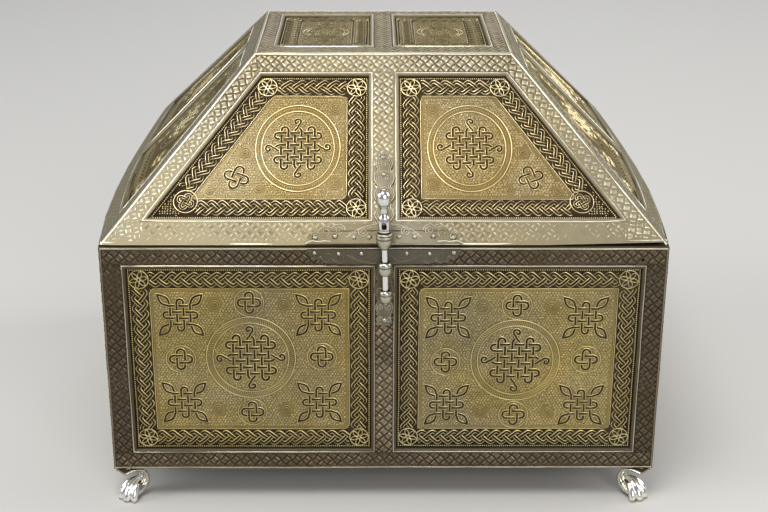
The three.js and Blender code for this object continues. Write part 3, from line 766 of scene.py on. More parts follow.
def top_panel(seat, side):
    b = Buf()
    mask = Mask(seat)
    outer, inner = frame_lines(b, seat, border=7.4)
    plate(b, outer, inner)
    hand = 1 if side < 0 else -1
    lane = inset_poly(seat, 4.1)
    r = 3.1
    for i in range(4):
        a, c = lane[i], lane[(i + 1) % 4]
        d = (c - a) / np.linalg.norm(c - a)
        plait(b, a + d * (r + 0.15), c - d * (r + 0.15), hand, amp=2.05, w=1.35)
        rosette(b, lane[i], r)
    seat = np.asarray(seat)
    c = (seat[:, 0].mean(), seat[:, 1].mean())
    ring_band(b, c, 9.0, 7.5, ribs=False, mask=mask, count=48)
    corner_knot(b, c, 0.78, mask, w=1.2, flip=1 if side < 0 else -1)
    for k in (-1, 1):
        small_knot(b, (c[0], c[1] + 14.6 * k), 1.1, mask, w=1.3, angle=math.radians(45))
    ground_curls(b, inset_poly(seat, 8.3), mask)
    return b


# ------------------------------------------------------------------ woven frame bands
def woven(buf, region, angle, origin, cell=2.68, high=0.34, worn=1.0, keep_out=()):
    """Basket weave of flat double-edged straps, at 45 degrees to the band."""
    region = np.asarray(region, float)
    th = math.radians(angle + 45)
    ax, ay = np.array([math.cos(th), math.sin(th)]), np.array([-math.sin(th), math.cos(th)])
    rel = region - origin
    p, q = rel @ ax, rel @ ay
    i0, i1 = int(math.floor(p.min() / cell)) - 1, int(math.ceil(p.max() / cell)) + 1
    j0, j1 = int(math.floor(q.min() / cell)) - 1, int(math.ceil(q.max() / cell)) + 1
    L = cell
    al = np.array([-0.5, -0.24, 0.24, 0.5]) * L * 0.99
    ah = np.array([0.02, 0.9, 0.9, 0.02])
    bl = np.array([-0.47, -0.36, -0.17, 0.17, 0.36, 0.47]) * L
    bh = np.array([0.0, 1.0, 0.72, 0.72, 1.0, 0.0])
    bt = np.array([0.0, 1.0, 0.52, 0.52, 1.0, 0.0])
    A, B = np.meshgrid(al, bl, indexing="ij")
    H = np.outer(ah, bh) * high
    # T: tone near 0 at each strap's ends, where it passes under its neighbours, and at its foot is painted shade; 1 on
    # the raised edges is painted highlight
    T = np.outer(np.array([0.05, 1.0, 1.0, 0.05]), bt)
    quads = np.array([[i * 6 + j, (i + 1) * 6 + j, (i + 1) * 6 + j + 1, i * 6 + j + 1] for i in range(3) for j in range(5)])
    n = len(region)
    edges = []
    for e in range(n):
        a, c = region[e], region[(e + 1) % n]
        d = (c - a) / np.linalg.norm(c - a)
        edges.append((a, np.array([-d[1], d[0]])))
    verts, tones, uvs, faces, base = [], [], [], [], 0
    for i in range(i0, i1):
        for j in range(j0, j1):
            cx = origin + ax * ((i + 0.5) * cell) + ay * ((j + 0.5) * cell)
            dist = np.array([(cx - a) @ m for a, m in edges])
            if dist.min() < -0.62 * cell:
                continue
            along, across = (ax, ay) if (i + j) % 2 == 0 else (ay, -ax)
            xy = cx + A.reshape(-1, 1) * along + B.reshape(-1, 1) * across
            h = H.ravel().copy()
            t = T.ravel().copy()
            if dist.min() < 0.75 * cell:
                gone = np.zeros(len(xy), bool)
                for a, m in edges:
                    s = (xy - a) @ m
                    bad = s < 0
                    xy[bad] -= np.outer(s[bad], m)
                    gone |= bad
                if gone.all():
                    continue
                # corners pulled back to the band's edge lie flat at 0.3 of their tone: painted shade along the band's
                # edge
                h[gone] = 0.0
                t[gone] *= 0.3
            if any(np.hypot(*(cx - np.asarray(k[:2]))) < k[2] for k in keep_out):
                continue
            u = RNG.uniform(0.82, 1.08)
            verts.append(np.column_stack([xy, h * u + 0.02]))
            # worn scales the whole band's tone up or down
            tones.append(np.clip(t * RNG.uniform(0.78, 1.0) * worn, 0, 1))
            uvs.append(np.column_stack([A.ravel() / L, B.ravel() / L]))
            faces.append(quads + base)
            base += len(xy)
    if verts:
        buf.add(np.concatenate(verts), np.concatenate(tones), quads=np.concatenate(faces), uv=np.concatenate(uvs))


def moulding(buf, seat, scale=1.0, step=5.0):
    """Fillet, groove and half round about a seat, running down into it."""
    # tones: 0 down the seat wall and in the groove is painted shade, the fillet and the half round's crown carry
    # painted highlight
    prof = [(-0.02, -1.2, 0.0), (0.06, -0.25, 0.0), (0.3, 0.0, 0.05), (0.42, 0.18, 0.55), (0.56, 0.2, 0.6), (0.66, 0.04, 0.0),
            (0.78, 0.05, 0.0), (0.9, 0.4, 1.0), (1.08, 0.5, 1.0), (1.26, 0.4, 1.0), (1.38, 0.06, 0.05), (1.5, 0.0, 0.0)]
    # offset grows outwards, which is to the right of an anticlockwise outline
    prof = [(-o, h * scale, t) for o, h, t in reversed(prof)]
    pts = corners_resample(seat, step)
    sweep(buf, pts, prof, closed=True)


def corners_resample(poly, step):
    p = np.asarray(poly, float)
    out = []
    for i in range(len(p)):
        a, b = p[i], p[(i + 1) % len(p)]
        n = max(1, int(np.linalg.norm(b - a) / step))
        for k in range(n):
            out.append(a + (b - a) * k / n)
    return np.array(out)


def bar(buf, a, b, prof, step=6.0, z=0.0):
    a, b = np.asarray(a, float), np.asarray(b, float)
    n = max(2, int(np.linalg.norm(b - a) / step) + 1)
    t = np.linspace(0, 1, n)[:, None]
    sweep(buf, a + (b - a) * t, prof, z)


def half_round(w, h, tone=1.0, base=-0.05):
    out = []
    for k in range(7):
        a = math.pi * k / 6
        # tone falls from the crown to the sides: painted highlight on top, painted shade at the foot
        out.append((-w / 2 * math.cos(a), base + h * math.sin(a), tone * (0.15 + 0.85 * math.sin(a))))
    return out


def bent(u):
    """How far the lid's lower front edge is bent up at u."""
    r = np.clip((u - 38.0) / 62.0, 0, 1) * 1.15
    l = np.clip((-u - 83.0) / 17.0, 0, 1) * 0.5
    return r + l


def body_bands():
    b = Buf()
    for name, wall, _ in SIDES:
        f = Buf()
        h = wall.half
        o = h - SEAT_SIDE + BEAD
        lo, hi = SEAT_LOW - BEAD, SEAT_HIGH + BEAD
        e = h - 0.85
        keep = [(0, 86, 0.0)]
        holes = [(91, 83.2, 1.9)] if name == "front" else []
        woven(f, [(-e, hi), (e, hi), (e, BOX_H - 1.0), (-e, BOX_H - 1.0)], 0, np.array([0, (hi + BOX_H - 1.0) / 2]), worn=0.82, keep_out=holes)
        woven(f, [(-e, 0.9), (e, 0.9), (e, lo), (-e, lo)], 0, np.array([0, (lo + 0.9) / 2]), worn=0.92)
        woven(f, [(-e, lo), (-o, lo), (-o, hi), (-e, hi)], 90, np.array([-(e + o) / 2, 44.0]), worn=0.62)
        woven(f, [(o, lo), (e, lo), (e, hi), (o, hi)], 90, np.array([(e + o) / 2, 44.0]), worn=0.62)
        m = SEAT_IN - BEAD
        woven(f, [(-m, lo), (m, lo), (m, hi), (-m, hi)], 90, np.array([0, 44.0]), worn=1.4)
        f.place(wall, b)
    return b


def lid_bands():
    b = Buf()
    for name, _, slope in SIDES:
        f = Buf()
        h = slope.half
        B = BEAD
        lo, hi, top = SLOPE_LOW - B, SLOPE_HIGH + B, SLANT - 1.0
        low = 1.3
        corner = hip(h, SLOPE_LOW, HIP_BAND)
        inner = lambda v: hip(h, v, HIP_BAND - B)
        outer = lambda v: hip(h, v, 0.75)
        holes = [(-11.9, 7.3, 2.7)] if name == "front" else []
        cut = corner + 1.0
        rise = lambda u: float(bent(u)) / SN if name == "front" else 0.0
        woven(f, [(-cut, low + rise(-cut)), (-38, low), (38, low), (cut, low + rise(cut)), (cut, lo), (-cut, lo)], 0, np.array([0, (low + lo) / 2]), worn=0.72, keep_out=holes)
        th = math.degrees(math.atan2(1, -K))           # direction of the right hip, going up
        for s in (1, -1):
            up = rise(s * h)
            mid = np.array([(inner(38) + outer(38)) / 2, 38.0])
            for pts in ([(cut, low + rise(s * cut)), (outer(low + up), low + up), (outer(lo), lo), (cut, lo)],
                        [(inner(lo), lo), (outer(lo), lo), (outer(top), top), (inner(hi), hi)]):
                poly = [(x * s, y) for x, y in pts]
                if s < 0:
                    poly = poly[::-1]
                woven(f, poly, th if s > 0 else 180 - th, mid * np.array([s, 1]))
        woven(f, [(-inner(hi), hi), (inner(hi), hi), (outer(top), top), (-outer(top), top)], 0, np.array([0, (hi + top) / 2]))
        m = SLOPE_IN - B
        woven(f, [(-m, lo), (m, lo), (m, hi), (-m, hi)], 90, np.array([0, 38.0]), keep_out=[(0, 24, 0)])
        f.place(slope, b)
    f = Buf()
    w, d = TOP_W / 2 - 0.8, TOP_D / 2 - 0.8
    s = top_seats()
    o = s[1][1][0] + BEAD
    f0, b0 = s[0][0][1] - BEAD, s[0][2][1] + BEAD
    m = TOP_IN - BEAD
    woven(f, [(-w, -d), (w, -d), (w, f0), (-w, f0)], 0, np.array([0, (-d + f0) / 2]), worn=0.66)
    woven(f, [(-w, b0), (w, b0), (w, d), (-w, d)], 0, np.array([0, (d + b0) / 2]), worn=0.66)
    woven(f, [(-w, f0), (-o, f0), (-o, b0), (-w, b0)], 90, np.array([-(w + o) / 2, 0]), worn=0.66)
    woven(f, [(o, f0), (w, f0), (w, b0), (o, b0)], 90, np.array([(w + o) / 2, 0]), worn=0.66)
    woven(f, [(-m, f0), (m, f0), (m, b0), (-m, b0)], 90, np.array([0, 0]), worn=0.66)
    f.place(TOP, b)
    return b


def body_mouldings():
    b = Buf()
    for name, wall, _ in SIDES:
        f = Buf()
        for seat in wall_seats(wall.half):
            moulding(f, seat)
        h = wall.half
        # bright fillet under the rim and a thin one along the foot
        bar(f, (-h + 0.3, BOX_H - 0.62), (h - 0.3, BOX_H - 0.62), half_round(0.75, 0.26))
        bar(f, (-h + 0.3, 0.42), (h - 0.3, 0.42), half_round(0.7, 0.24, 0.9))
        bar(f, (-h + 0.42, 0.5), (-h + 0.42, BOX_H - 0.9), half_round(0.6, 0.14, 0.62))
        bar(f, (h - 0.42, BOX_H - 0.9), (h - 0.42, 0.5), half_round(0.6, 0.14, 0.62))
        f.place(wall, b)
    return b


def lid_mouldings():
    b = Buf()
    for name, _, slope in SIDES:
        f = Buf()
        for seat in slope_seats(slope.half):
            moulding(f, seat)
        h = slope.half
        n = 49
        u = np.linspace(-h + 0.7, h - 0.7, n)
        lift = bent(u) / SN if name == "front" else np.zeros(n)
        if name == "right":
            lift = np.clip((-u - 0.0) / 90.0, 0, 1) * 1.15 / SN
        sweep(f, np.stack([u, 0.72 + lift], 1), half_round(0.85, 0.3))
        for s in (1, -1):
            lowp, highp = (s * hip(h, 0.6, 0.42), 0.6), (s * hip(h, SLANT - 0.4, 0.42), SLANT - 0.4)
            a, c = (lowp, highp) if s > 0 else (highp, lowp)
            bar(f, a, c, half_round(0.95, 0.3, 0.95))
        bar(f, (-hip(h, SLANT - 0.5, 0.5), SLANT - 0.5), (hip(h, SLANT - 0.5, 0.5), SLANT - 0.5), half_round(0.8, 0.24, 0.9))
        f.place(slope, b)
    f = Buf()
    for seat in top_seats():
        moulding(f, seat)
    w, d = TOP_W / 2 - 0.4, TOP_D / 2 - 0.4
    sweep(f, corners_resample([(-w, -d), (w, -d), (w, d), (-w, d)], 6), half_round(0.75, 0.26, 0.9), closed=True)
    f.place(TOP, b)
    return b


# ------------------------------------------------------------------ clasp
def clasp_sizes(stem, lobes, arch, reach):
    def height(u):
        h = 0.9 + 1.5 * min(1, (reach - u) / 2.4)
        for cu, cv, r in lobes:
            d = r * r - (u - cu) ** 2
            if d > 0:
                h = max(h, cv + math.sqrt(d))
        if u < arch[0]:
            h = max(h, 1.2 + arch[1] * max(0.0, 1 - (u / arch[0]) ** 2.2) ** 0.6)
        return h

    def width(v):
        w = 2.5
        for cv, r in stem:
            d = r * r - (v - cv) ** 2
            if d > 0:
                w = max(w, math.sqrt(d))
        return w
    return height, width


def clasp_outline(stem, lobes, arch, reach):
    """Half of the plate's edge, from the end of a wing to the tip of the stem."""
    height, width = clasp_sizes(stem, lobes, arch, reach)
    tip = max(v + r for v, r in stem)
    last = [q for q in stem if q[0] + q[1] == tip][0]
    foot = height(width(12))
    u = np.arange(reach, width(foot) + 0.2, -0.42)
    pts = [(reach, 0.45)] + [(x, height(x)) for x in u]
    for y in np.arange(foot + 0.3, tip - 0.05, 0.42):
        w = width(y)
        if y > last[0]:
            w = math.sqrt(max(0.02, last[1] ** 2 - (y - last[0]) ** 2))
        pts.append((w, y))
    pts.append((0.0, tip))
    return np.array(pts)


def clasp_leaf(stem, lobes, arch, reach, rivets, n0, n1, emboss=0.3, soft=1.0, stem_tone=None):
    """A cut sheet with a turned edge and two raised lines inside the edge."""
    b = Buf()
    half = clasp_outline(stem, lobes, arch, reach)
    edge = np.vstack([half, (half * (-1, 1))[::-1][1:]])
    k = len(half)
    # sheet: strips across from the right edge to the left
    rows = 9
    across = np.linspace(-1, 1, rows)
    v = np.array([[(p[0] * t, p[1], n1 + 0.16 * (1 - t * t)) for t in across] for p in half])
    i = np.arange(k - 1)[:, None]
    j = np.arange(rows - 1)[None, :]
    q = i * rows + j
    tone = np.full((k, rows), 0.5 * soft)
    b.add(v.reshape(-1, 3), tone.ravel(), quads=np.stack([q, q + 1, q + rows + 1, q + rows], 2).reshape(-1, 4))
    # wall of the sheet, at the sheet's tone at its top and 0 at its foot: painted shade at the foot
    m = len(edge)
    w = np.concatenate([np.column_stack([edge, np.full(m, n1)]), np.column_stack([edge, np.full(m, n0 - 0.25)])])
    i = np.arange(m - 1)
    b.add(w, np.concatenate([np.full(m, 0.5 * soft), np.zeros(m)]), quads=np.stack([i + 1, i, m + i, m + i + 1], 1))
    lines(b, edge, n1, soft)
    return b


def normals_in(path):
    d = np.gradient(path, axis=0)
    d /= np.maximum(np.linalg.norm(d, axis=1, keepdims=True), 1e-9)
    return np.stack([-d[:, 1], d[:, 0]], 1)


def lines(b, edge, n1, soft):
    n = normals_in(edge)
    for d, w, h, t in ((0.3, 0.5, 0.3, 1.0), (1.0, 0.34, 0.2, 0.85)):
        p = edge + n * d
        keep = np.ones(len(p), bool)
        for i in range(len(p)):
            keep[i] = np.hypot(edge[:, 0] - p[i, 0], edge[:, 1] - p[i, 1]).min() > d * 0.86
        p = p[keep]
        cut = np.where(np.hypot(*(np.diff(p, axis=0)).T) > 1.6)[0]
        for part in np.split(p, cut + 1):
            if len(part) > 3:
                # raised lines: painted shade at their sides, painted highlight on the ridge
                sweep(b, part, [(-w / 2, n1 - 0.02, 0.25 * soft), (0, n1 + h, t * soft), (w / 2, n1 - 0.02, 0.25 * soft)])


def dome(b, c, r, h, n0, tone=1.0, seg=10, ring=True):
    """A domed rivet head with a small washer line."""
    # tones rise from painted shade round the washer to painted highlight on the crown
    prof = [(1.28, 0.0, 0.3), (1.12, 0.1, 0.2), (1.0, 0.06, 0.25), (0.97, 0.3, 0.75), (0.8, 0.66, 1.0), (0.45, 0.93, 1.0)]
    th = np.linspace(0, 2 * np.pi, seg, endpoint=False)
    v, t = [], []
    for rr, hh, tt in prof:
        for a in th:
            v.append((c[0] + r * rr * math.cos(a), c[1] + r * rr * math.sin(a), n0 + h * hh))
            t.append(tt * tone)
    v.append((c[0], c[1], n0 + h))
    t.append(tone)
    k = len(prof)
    q = [(i * seg + j, i * seg + (j + 1) % seg, (i + 1) * seg + (j + 1) % seg, (i + 1) * seg + j) for i in range(k - 1) for j in range(seg)]
    tri = [((k - 1) * seg + j, (k - 1) * seg + (j + 1) % seg, k * seg) for j in range(seg)]
    b.add(v, t, quads=q, tris=tri)


def scroll(b, c, r, n0, flip=1, turn=0.0, turns=1.6, h=0.26, w=0.42, tone=0.95):
    t = np.linspace(0, 1, int(14 * turns))
    a = turn + t * turns * 2 * math.pi * flip
    rr = 0.18 + (r - 0.18) * t
    p = np.stack([c[0] + rr * np.cos(a), c[1] + rr * np.sin(a)], 1)
    # tone 0.2 at the wire's sides, painted shade; the given tone on its ridge, painted highlight
    sweep(b, p, [(-w / 2, n0 - 0.02, 0.2), (0, n0 + h, tone), (w / 2, n0 - 0.02, 0.2)])


def turned_body(rings, seg=28, centre=(0.0, 0.0), lean=None, tone=1.0):
    """Lathe work: rings of (radius, z, tone)."""
    b = Buf()
    th = np.linspace(0, 2 * np.pi, seg, endpoint=False)
    v, t = [], []
    for r, z, tt in rings:
        off = lean(z) if lean else 0.0
        for a in th:
            v.append((centre[0] + off + r * math.cos(a), centre[1] + r * math.sin(a), z))
            t.append(tt * tone)
    k = len(rings)
    q = [(i * seg + j, i * seg + (j + 1) % seg, (i + 1) * seg + (j + 1) % seg, (i + 1) * seg + j) for i in range(k - 1) for j in range(seg)]
    b.add(v, t, quads=q)
    return b


def rounded(points, n=3):
    """More rings between the given ones, on a smooth curve."""
    p = np.array(points, float)
    out = smooth(p, n)
    out[:, 0] = np.maximum(out[:, 0], 0.0)
    return [tuple(x) for x in out]


PIN_Y, PIN_LOW = -93.2, Z0 + 67.4


def lean(z):
    return 0.5 - ((z - (Z0 + 68)) / 40) * 0.85


def pin():
    b = Z0
    # ring tones: low in the undercuts, painted shade; full on the swells and the ball, painted highlight
    prof = [(0.0, PIN_LOW, 0.3), (0.5, PIN_LOW, 0.3), (0.8, PIN_LOW + 0.25, 0.5), (1.02, PIN_LOW + 1.2, 0.9), (1.12, PIN_LOW + 5, 1.0), (1.13, b + 94.8, 1.0),
            (1.15, b + 94.92, 0.2), (1.95, b + 94.95, 0.25), (2.2, b + 95.2, 0.9), (2.28, b + 95.6, 1.0), (2.12, b + 95.95, 0.3), (2.26, b + 96.3, 0.95),
            (2.3, b + 98.0, 1.0), (2.24, b + 99.4, 1.0), (2.1, b + 99.75, 0.25), (2.22, b + 100.1, 1.0), (2.0, b + 100.6, 0.9),
            (1.5, b + 101.2, 0.55), (1.35, b + 102.2, 0.8), (1.36, b + 103.2, 0.9), (1.5, b + 104.1, 0.7), (1.95, b + 104.5, 0.9), (2.0, b + 104.85, 0.35),
            (2.36, b + 105.5, 0.9), (2.6, b + 106.4, 1.0), (2.65, b + 107.4, 1.0), (2.5, b + 108.4, 1.0), (2.1, b + 109.3, 1.0), (1.4, b + 110.05, 1.0), (0.7, b + 110.45, 1.0), (0.0, b + 110.6, 1.0)]
    return turned_body(prof, 28, (0.0, PIN_Y), lean)


def collar(z0, z1, r_top, r_mid, r_low, hole=1.54, cup=False, seg=28):
    """A turned eye, closed round its own hole."""
    h = z1 - z0
    # ring tones: low in the grooves and round the hole, painted shade; full on the swells, painted highlight
    if cup:
        out = [(hole, z0, 0.1), (r_low * 0.96, z0, 0.5), (r_low, z0 + 0.1 * h, 0.9), (r_mid * 0.83, z0 + 0.28 * h, 1.0), (r_mid * 0.97, z0 + 0.46 * h, 1.0),
               (r_mid * 1.0, z0 + 0.6 * h, 1.0), (r_mid * 0.94, z0 + 0.66 * h, 0.25), (r_top * 1.0, z0 + 0.74 * h, 1.0), (r_top * 1.01, z0 + 0.82 * h, 1.0),
               (r_top * 0.93, z0 + 0.87 * h, 0.2), (r_top * 0.98, z0 + 0.93 * h, 0.95), (r_top * 0.86, z1, 0.8), (hole, z1, 0.1), (hole, z0, 0.0)]
    else:
        out = [(hole, z0, 0.1), (r_low * 0.92, z0, 0.6), (r_low * 1.08, z0 + 0.08 * h, 0.95), (r_mid * 0.93, z0 + 0.24 * h, 1.0), (r_mid, z0 + 0.42 * h, 1.0), (r_mid, z0 + 0.56 * h, 1.0),
               (r_mid * 0.95, z0 + 0.64 * h, 0.25), (r_top * 0.99, z0 + 0.7 * h, 1.0), (r_top * 0.97, z0 + 0.84 * h, 1.0), (r_top * 0.8, z0 + 0.97 * h, 0.9), (hole, z1, 0.15), (hole, z0, 0.0)]
    b = turned_body(out, seg, (0.0, PIN_Y), lambda z: lean((z0 + z1) / 2))
    return b


def block(b, x0, x1, y0, y1, z0, z1, tone=0.7):
    v = [(x, y, z) for z in (z0, z1) for y in (y0, y1) for x in (x0, x1)]
    b.add(v, tone, quads=[(0, 2, 3, 1), (4, 5, 7, 6), (0, 1, 5, 4), (2, 6, 7, 3), (0, 4, 6, 2), (1, 3, 7, 5)])


LID_LEAF = dict(stem=[(33.9, 1.9), (31.4, 3.3), (25.6, 3.8), (19.2, 3.8), (11.5, 3.5)],
                lobes=[(16.0, 5.4, 2.7), (20.4, 4.7, 2.7), (24.2, 3.1, 2.0)], arch=(13.6, 7.0), reach=27.6)
BOX_LEAF = dict(stem=[(27.0, 2.6), (22.4, 3.3), (16.0, 3.7), (9.6, 3.4)],
                lobes=[(15.6, 3.4, 2.5), (20.0, 3.1, 2.5), (24.2, 2.4, 1.8)], arch=(13.8, 4.9), reach=27.2)


def lid_clasp():
    f = clasp_leaf(**LID_LEAF, rivets=(), n0=0.3, n1=1.0)
    n = 1.1
    for s in (1, -1):
        for cu, cv, r in LID_LEAF["lobes"]:
            scroll(f, (cu * s, cv), r * 0.62, n, flip=s, turn=1.0, turns=1.5)
        scroll(f, (7.6 * s, 5.0), 1.9, n, flip=-s, turn=0.5, turns=1.9)
        scroll(f, (11.4 * s, 3.9), 1.2, n, flip=s, turn=2.0, turns=1.4)
        scroll(f, (4.6 * s, 6.2), 0.9, n, flip=s, turn=0.0, turns=1.2)
        # smooth pointed wing at each end, its sides in painted shade and its ridge in painted highlight
        wing = np.array([(27.6, 0.5), (25.6, 1.5), (23.0, 1.2), (20.8, 1.5), (18.6, 1.2)]) * (s, 1)
        sweep(f, smooth(wing, 4), [(-0.45, n - 0.1, 0.5), (0, n + 0.34, 1.0), (0.45, n - 0.1, 0.5)])
    for cv, r in LID_LEAF["stem"][1:4]:
        for s in (1, -1):
            scroll(f, (1.55 * s, cv), 1.35, n, flip=s, turn=0.8 * s, turns=1.5)
        # arcs across the stem: painted shade at their sides, painted highlight on the ridge
        sweep(f, arc(0, cv, r - 0.95, 20, 160, 14), [(-0.2, n, 0.3), (0, n + 0.24, 0.95), (0.2, n, 0.3)])
    for u, v in ((5.2, 2.9), (-5.2, 2.9), (10.6, 2.9), (-10.6, 2.9), (17.2, 3.2), (-17.2, 3.2), (24.2, 2.7), (-24.2, 2.7), (-0.4, 33.8), (-0.2, 27.0)):
        dome(f, (u, v), 0.92, 0.85, n - 0.05)
    out = f.place(FRONT_SLOPE)
    out.add(*parts_of(collar(ZL + 0.1, Z0 + 94.6, 3.05, 3.0, 1.75, cup=True)))
    nb = Buf()
    x = lean(Z0 + 92)
    block(nb, x - 1.5, x + 1.5, PIN_Y + 1.6, -87.2, ZL + 1.0, Z0 + 94.0, 0.6)
    out.add(*parts_of(nb))
    return out


def box_clasp():
    f = clasp_leaf(**BOX_LEAF, rivets=(), n0=0.3, n1=0.85, soft=0.62)
    n = 0.95
    for s in (1, -1):
        # rings round the lobes and two arcs each side: painted shade at their sides, painted highlight on the ridge
        for cu, cv, r in BOX_LEAF["lobes"]:
            sweep(f, arc(cu * s, cv, r * 0.55, 0, 360, 18), [(-0.18, n - 0.04, 0.15), (0, n + 0.14, 0.6), (0.18, n - 0.04, 0.15)])
        sweep(f, arc(7.0 * s, 1.6, 4.6, 15, 165, 20, 3.2), [(-0.2, n - 0.04, 0.15), (0, n + 0.16, 0.62), (0.2, n - 0.04, 0.15)])
        sweep(f, arc(7.0 * s, 1.6, 3.2, 15, 165, 16, 2.2), [(-0.18, n - 0.04, 0.15), (0, n + 0.12, 0.5), (0.18, n - 0.04, 0.15)])
    for cv, r in BOX_LEAF["stem"][:3]:
        for s in (1, -1):
            scroll(f, (1.45 * s, cv), 1.25, n, flip=s, turn=0.8 * s, turns=1.5, h=0.24, tone=0.9)
    for u, v in ((7.9, 1.9), (-7.9, 1.9), (15.9, 2.0), (-15.9, 2.0), (24.4, 1.6), (-24.4, 1.6), (0.2, 27.4)):
        dome(f, (u, v), 0.8, 0.7, n - 0.05, tone=0.95)
    g = Buf()
    v = np.concatenate(f.v)
    v[:, 1] = BOX_H - 0.1 - v[:, 1]
    # the lower lobes are rubbed bright
    low = np.clip((BOX_H - 14.0 - v[:, 1]) / 8.0, 0, 1)
    g.add(v, np.clip(np.concatenate(f.t) + 0.22 * low, 0, 1), np.concatenate(f.q)[:, ::-1], np.concatenate(f.f)[:, ::-1])
    out = g.place(FRONT_WALL)
    for z0, z1, r, rl in ((Z0 + 78.8, Z0 + 83.7, 2.5, 1.9), (Z0 + 68.5, Z0 + 73.1, 2.4, 1.8)):
        out.add(*parts_of(collar(z0, z1, r, r * 1.02, rl)))
        nb = Buf()
        x = lean((z0 + z1) / 2)
        block(nb, x - 1.5, x + 1.5, PIN_Y + 1.5, -90.3, z0 + 0.6, z1 - 0.6, 0.5)
        out.add(*parts_of(nb))
    return out


def parts_of(b):
    return (np.concatenate(b.v), np.concatenate(b.t), np.concatenate(b.q) if b.q else None, np.concatenate(b.f) if b.f else None)


# ------------------------------------------------------------------ feet
def tube_grid(b, rows, tones, closed=True, caps=True):
    """Skin over rows of points."""
    rows = np.asarray(rows, float)
    k, m = rows.shape[:2]
    i = np.arange(k - 1)[:, None]
    j = np.arange(m if closed else m - 1)[None, :]
    a, c = i * m + j, i * m + (j + 1) % m
    b.add(rows.reshape(-1, 3), np.broadcast_to(tones, (k, m)).ravel(), quads=np.stack([a, c, c + m, a + m], 2).reshape(-1, 4))
    if caps and closed:
        for row, rev in ((rows[0], True), (rows[-1], False)):
            mid = row.mean(0)
            tri = [(x, (x + 1) % m, m) if not rev else ((x + 1) % m, x, m) for x in range(m)]
            b.add(np.vstack([row, mid]), 0.4, tris=tri)


def foot():
    """Local frame: x outwards, y across, z up from the ground."""
    b = Buf()
    mid = smooth([(5.4, 12.35), (2.6, 12.3), (-0.6, 11.7), (-3.4, 9.9), (-4.6, 7.0), (-3.9, 4.6), (-1.8, 3.2), (1.2, 2.4)], 5)
    d = np.gradient(mid, axis=0)
    d /= np.linalg.norm(d, axis=1, keepdims=True)
    nrm = np.stack([-d[:, 1], d[:, 0]], 1)          # towards the hollow of the scroll
    k = len(mid)
    half = np.interp(np.linspace(0, 1, k), [0, 0.25, 0.5, 0.8, 1], [3.3, 3.0, 2.7, 2.9, 3.1])
    thick = np.interp(np.linspace(0, 1, k), [0, 0.3, 0.6, 1], [0.5, 0.6, 0.9, 1.5])
    # section: a strap with raised rims on its hollow side; the rims carry painted highlight and the hollow between them
    # painted shade
    sec = [(-1, -0.7, 0.55), (-0.6, -1.0, 0.75), (0, -1.12, 0.8), (0.6, -1.0, 0.75), (1, -0.7, 0.55), (1.0, 0.75, 1.0), (0.82, 1.0, 1.0), (0.66, 0.45, 0.1), (0, 0.3, 0.0), (-0.66, 0.45, 0.1), (-0.82, 1.0, 1.0), (-1.0, 0.75, 1.0)]
    rows, tones = [], []
    for i in range(k):
        rows.append([(mid[i, 0] + nrm[i, 0] * h * thick[i] * -1, y * half[i], mid[i, 1] + nrm[i, 1] * h * thick[i] * -1) for y, h, _ in sec])
        tones.append([t for _, _, t in sec])
    tube_grid(b, rows, np.array(tones))
    # paw: four long rounded toes, higher behind, with a claw line in front, painted as a dark band of shade across each
    # toe
    for off, turn, length, rr in ((-2.55, -0.36, 7.0, 1.28), (-0.9, -0.12, 8.4, 1.42), (0.9, 0.12, 8.4, 1.42), (2.55, 0.36, 7.0, 1.28)):
        spine = smooth([(-3.2, 6.4), (-1.0, 6.6), (1.4, 6.0), (3.4, 4.6), (4.6, 2.9), (5.1, 1.3), (5.0, 0.4)], 3)
        spine = spine * (length / 8.4, 1.0)
        dd = np.gradient(spine, axis=0)
        dd /= np.linalg.norm(dd, axis=1, keepdims=True)
        m = len(spine)
        rows, tones = [], []
        ct, st = math.cos(turn), math.sin(turn)
        for i in range(m):
            f = i / (m - 1)
            r = rr * (0.55 + 0.6 * math.sin(math.pi * min(1, 0.12 + 0.8 * f)) ** 0.7)
            if f > 0.9:
                r *= 0.8
            dark = 0.35 if 0.78 < f < 0.84 else 1.0
            row = []
            for a in np.linspace(0, 2 * np.pi, 12, endpoint=False):
                ly, lz = math.cos(a) * r, math.sin(a) * r * 1.15
                x = spine[i, 0] - dd[i, 1] * lz - 0.6
                z = max(0.0, spine[i, 1] + dd[i, 0] * lz - r * 0.6)
                y = ly + off * (0.55 + 0.45 * f)
                row.append((x * ct - y * st * 0.6, x * st + y, z))
            rows.append(row)
            # the underside of each toe is painted shade at 0.45 of the tone
            tones.append([dark * (1.0 if math.sin(a) > -0.3 else 0.45) for a in np.linspace(0, 2 * np.pi, 12, endpoint=False)])
        tube_grid(b, rows, np.array(tones))
    return b


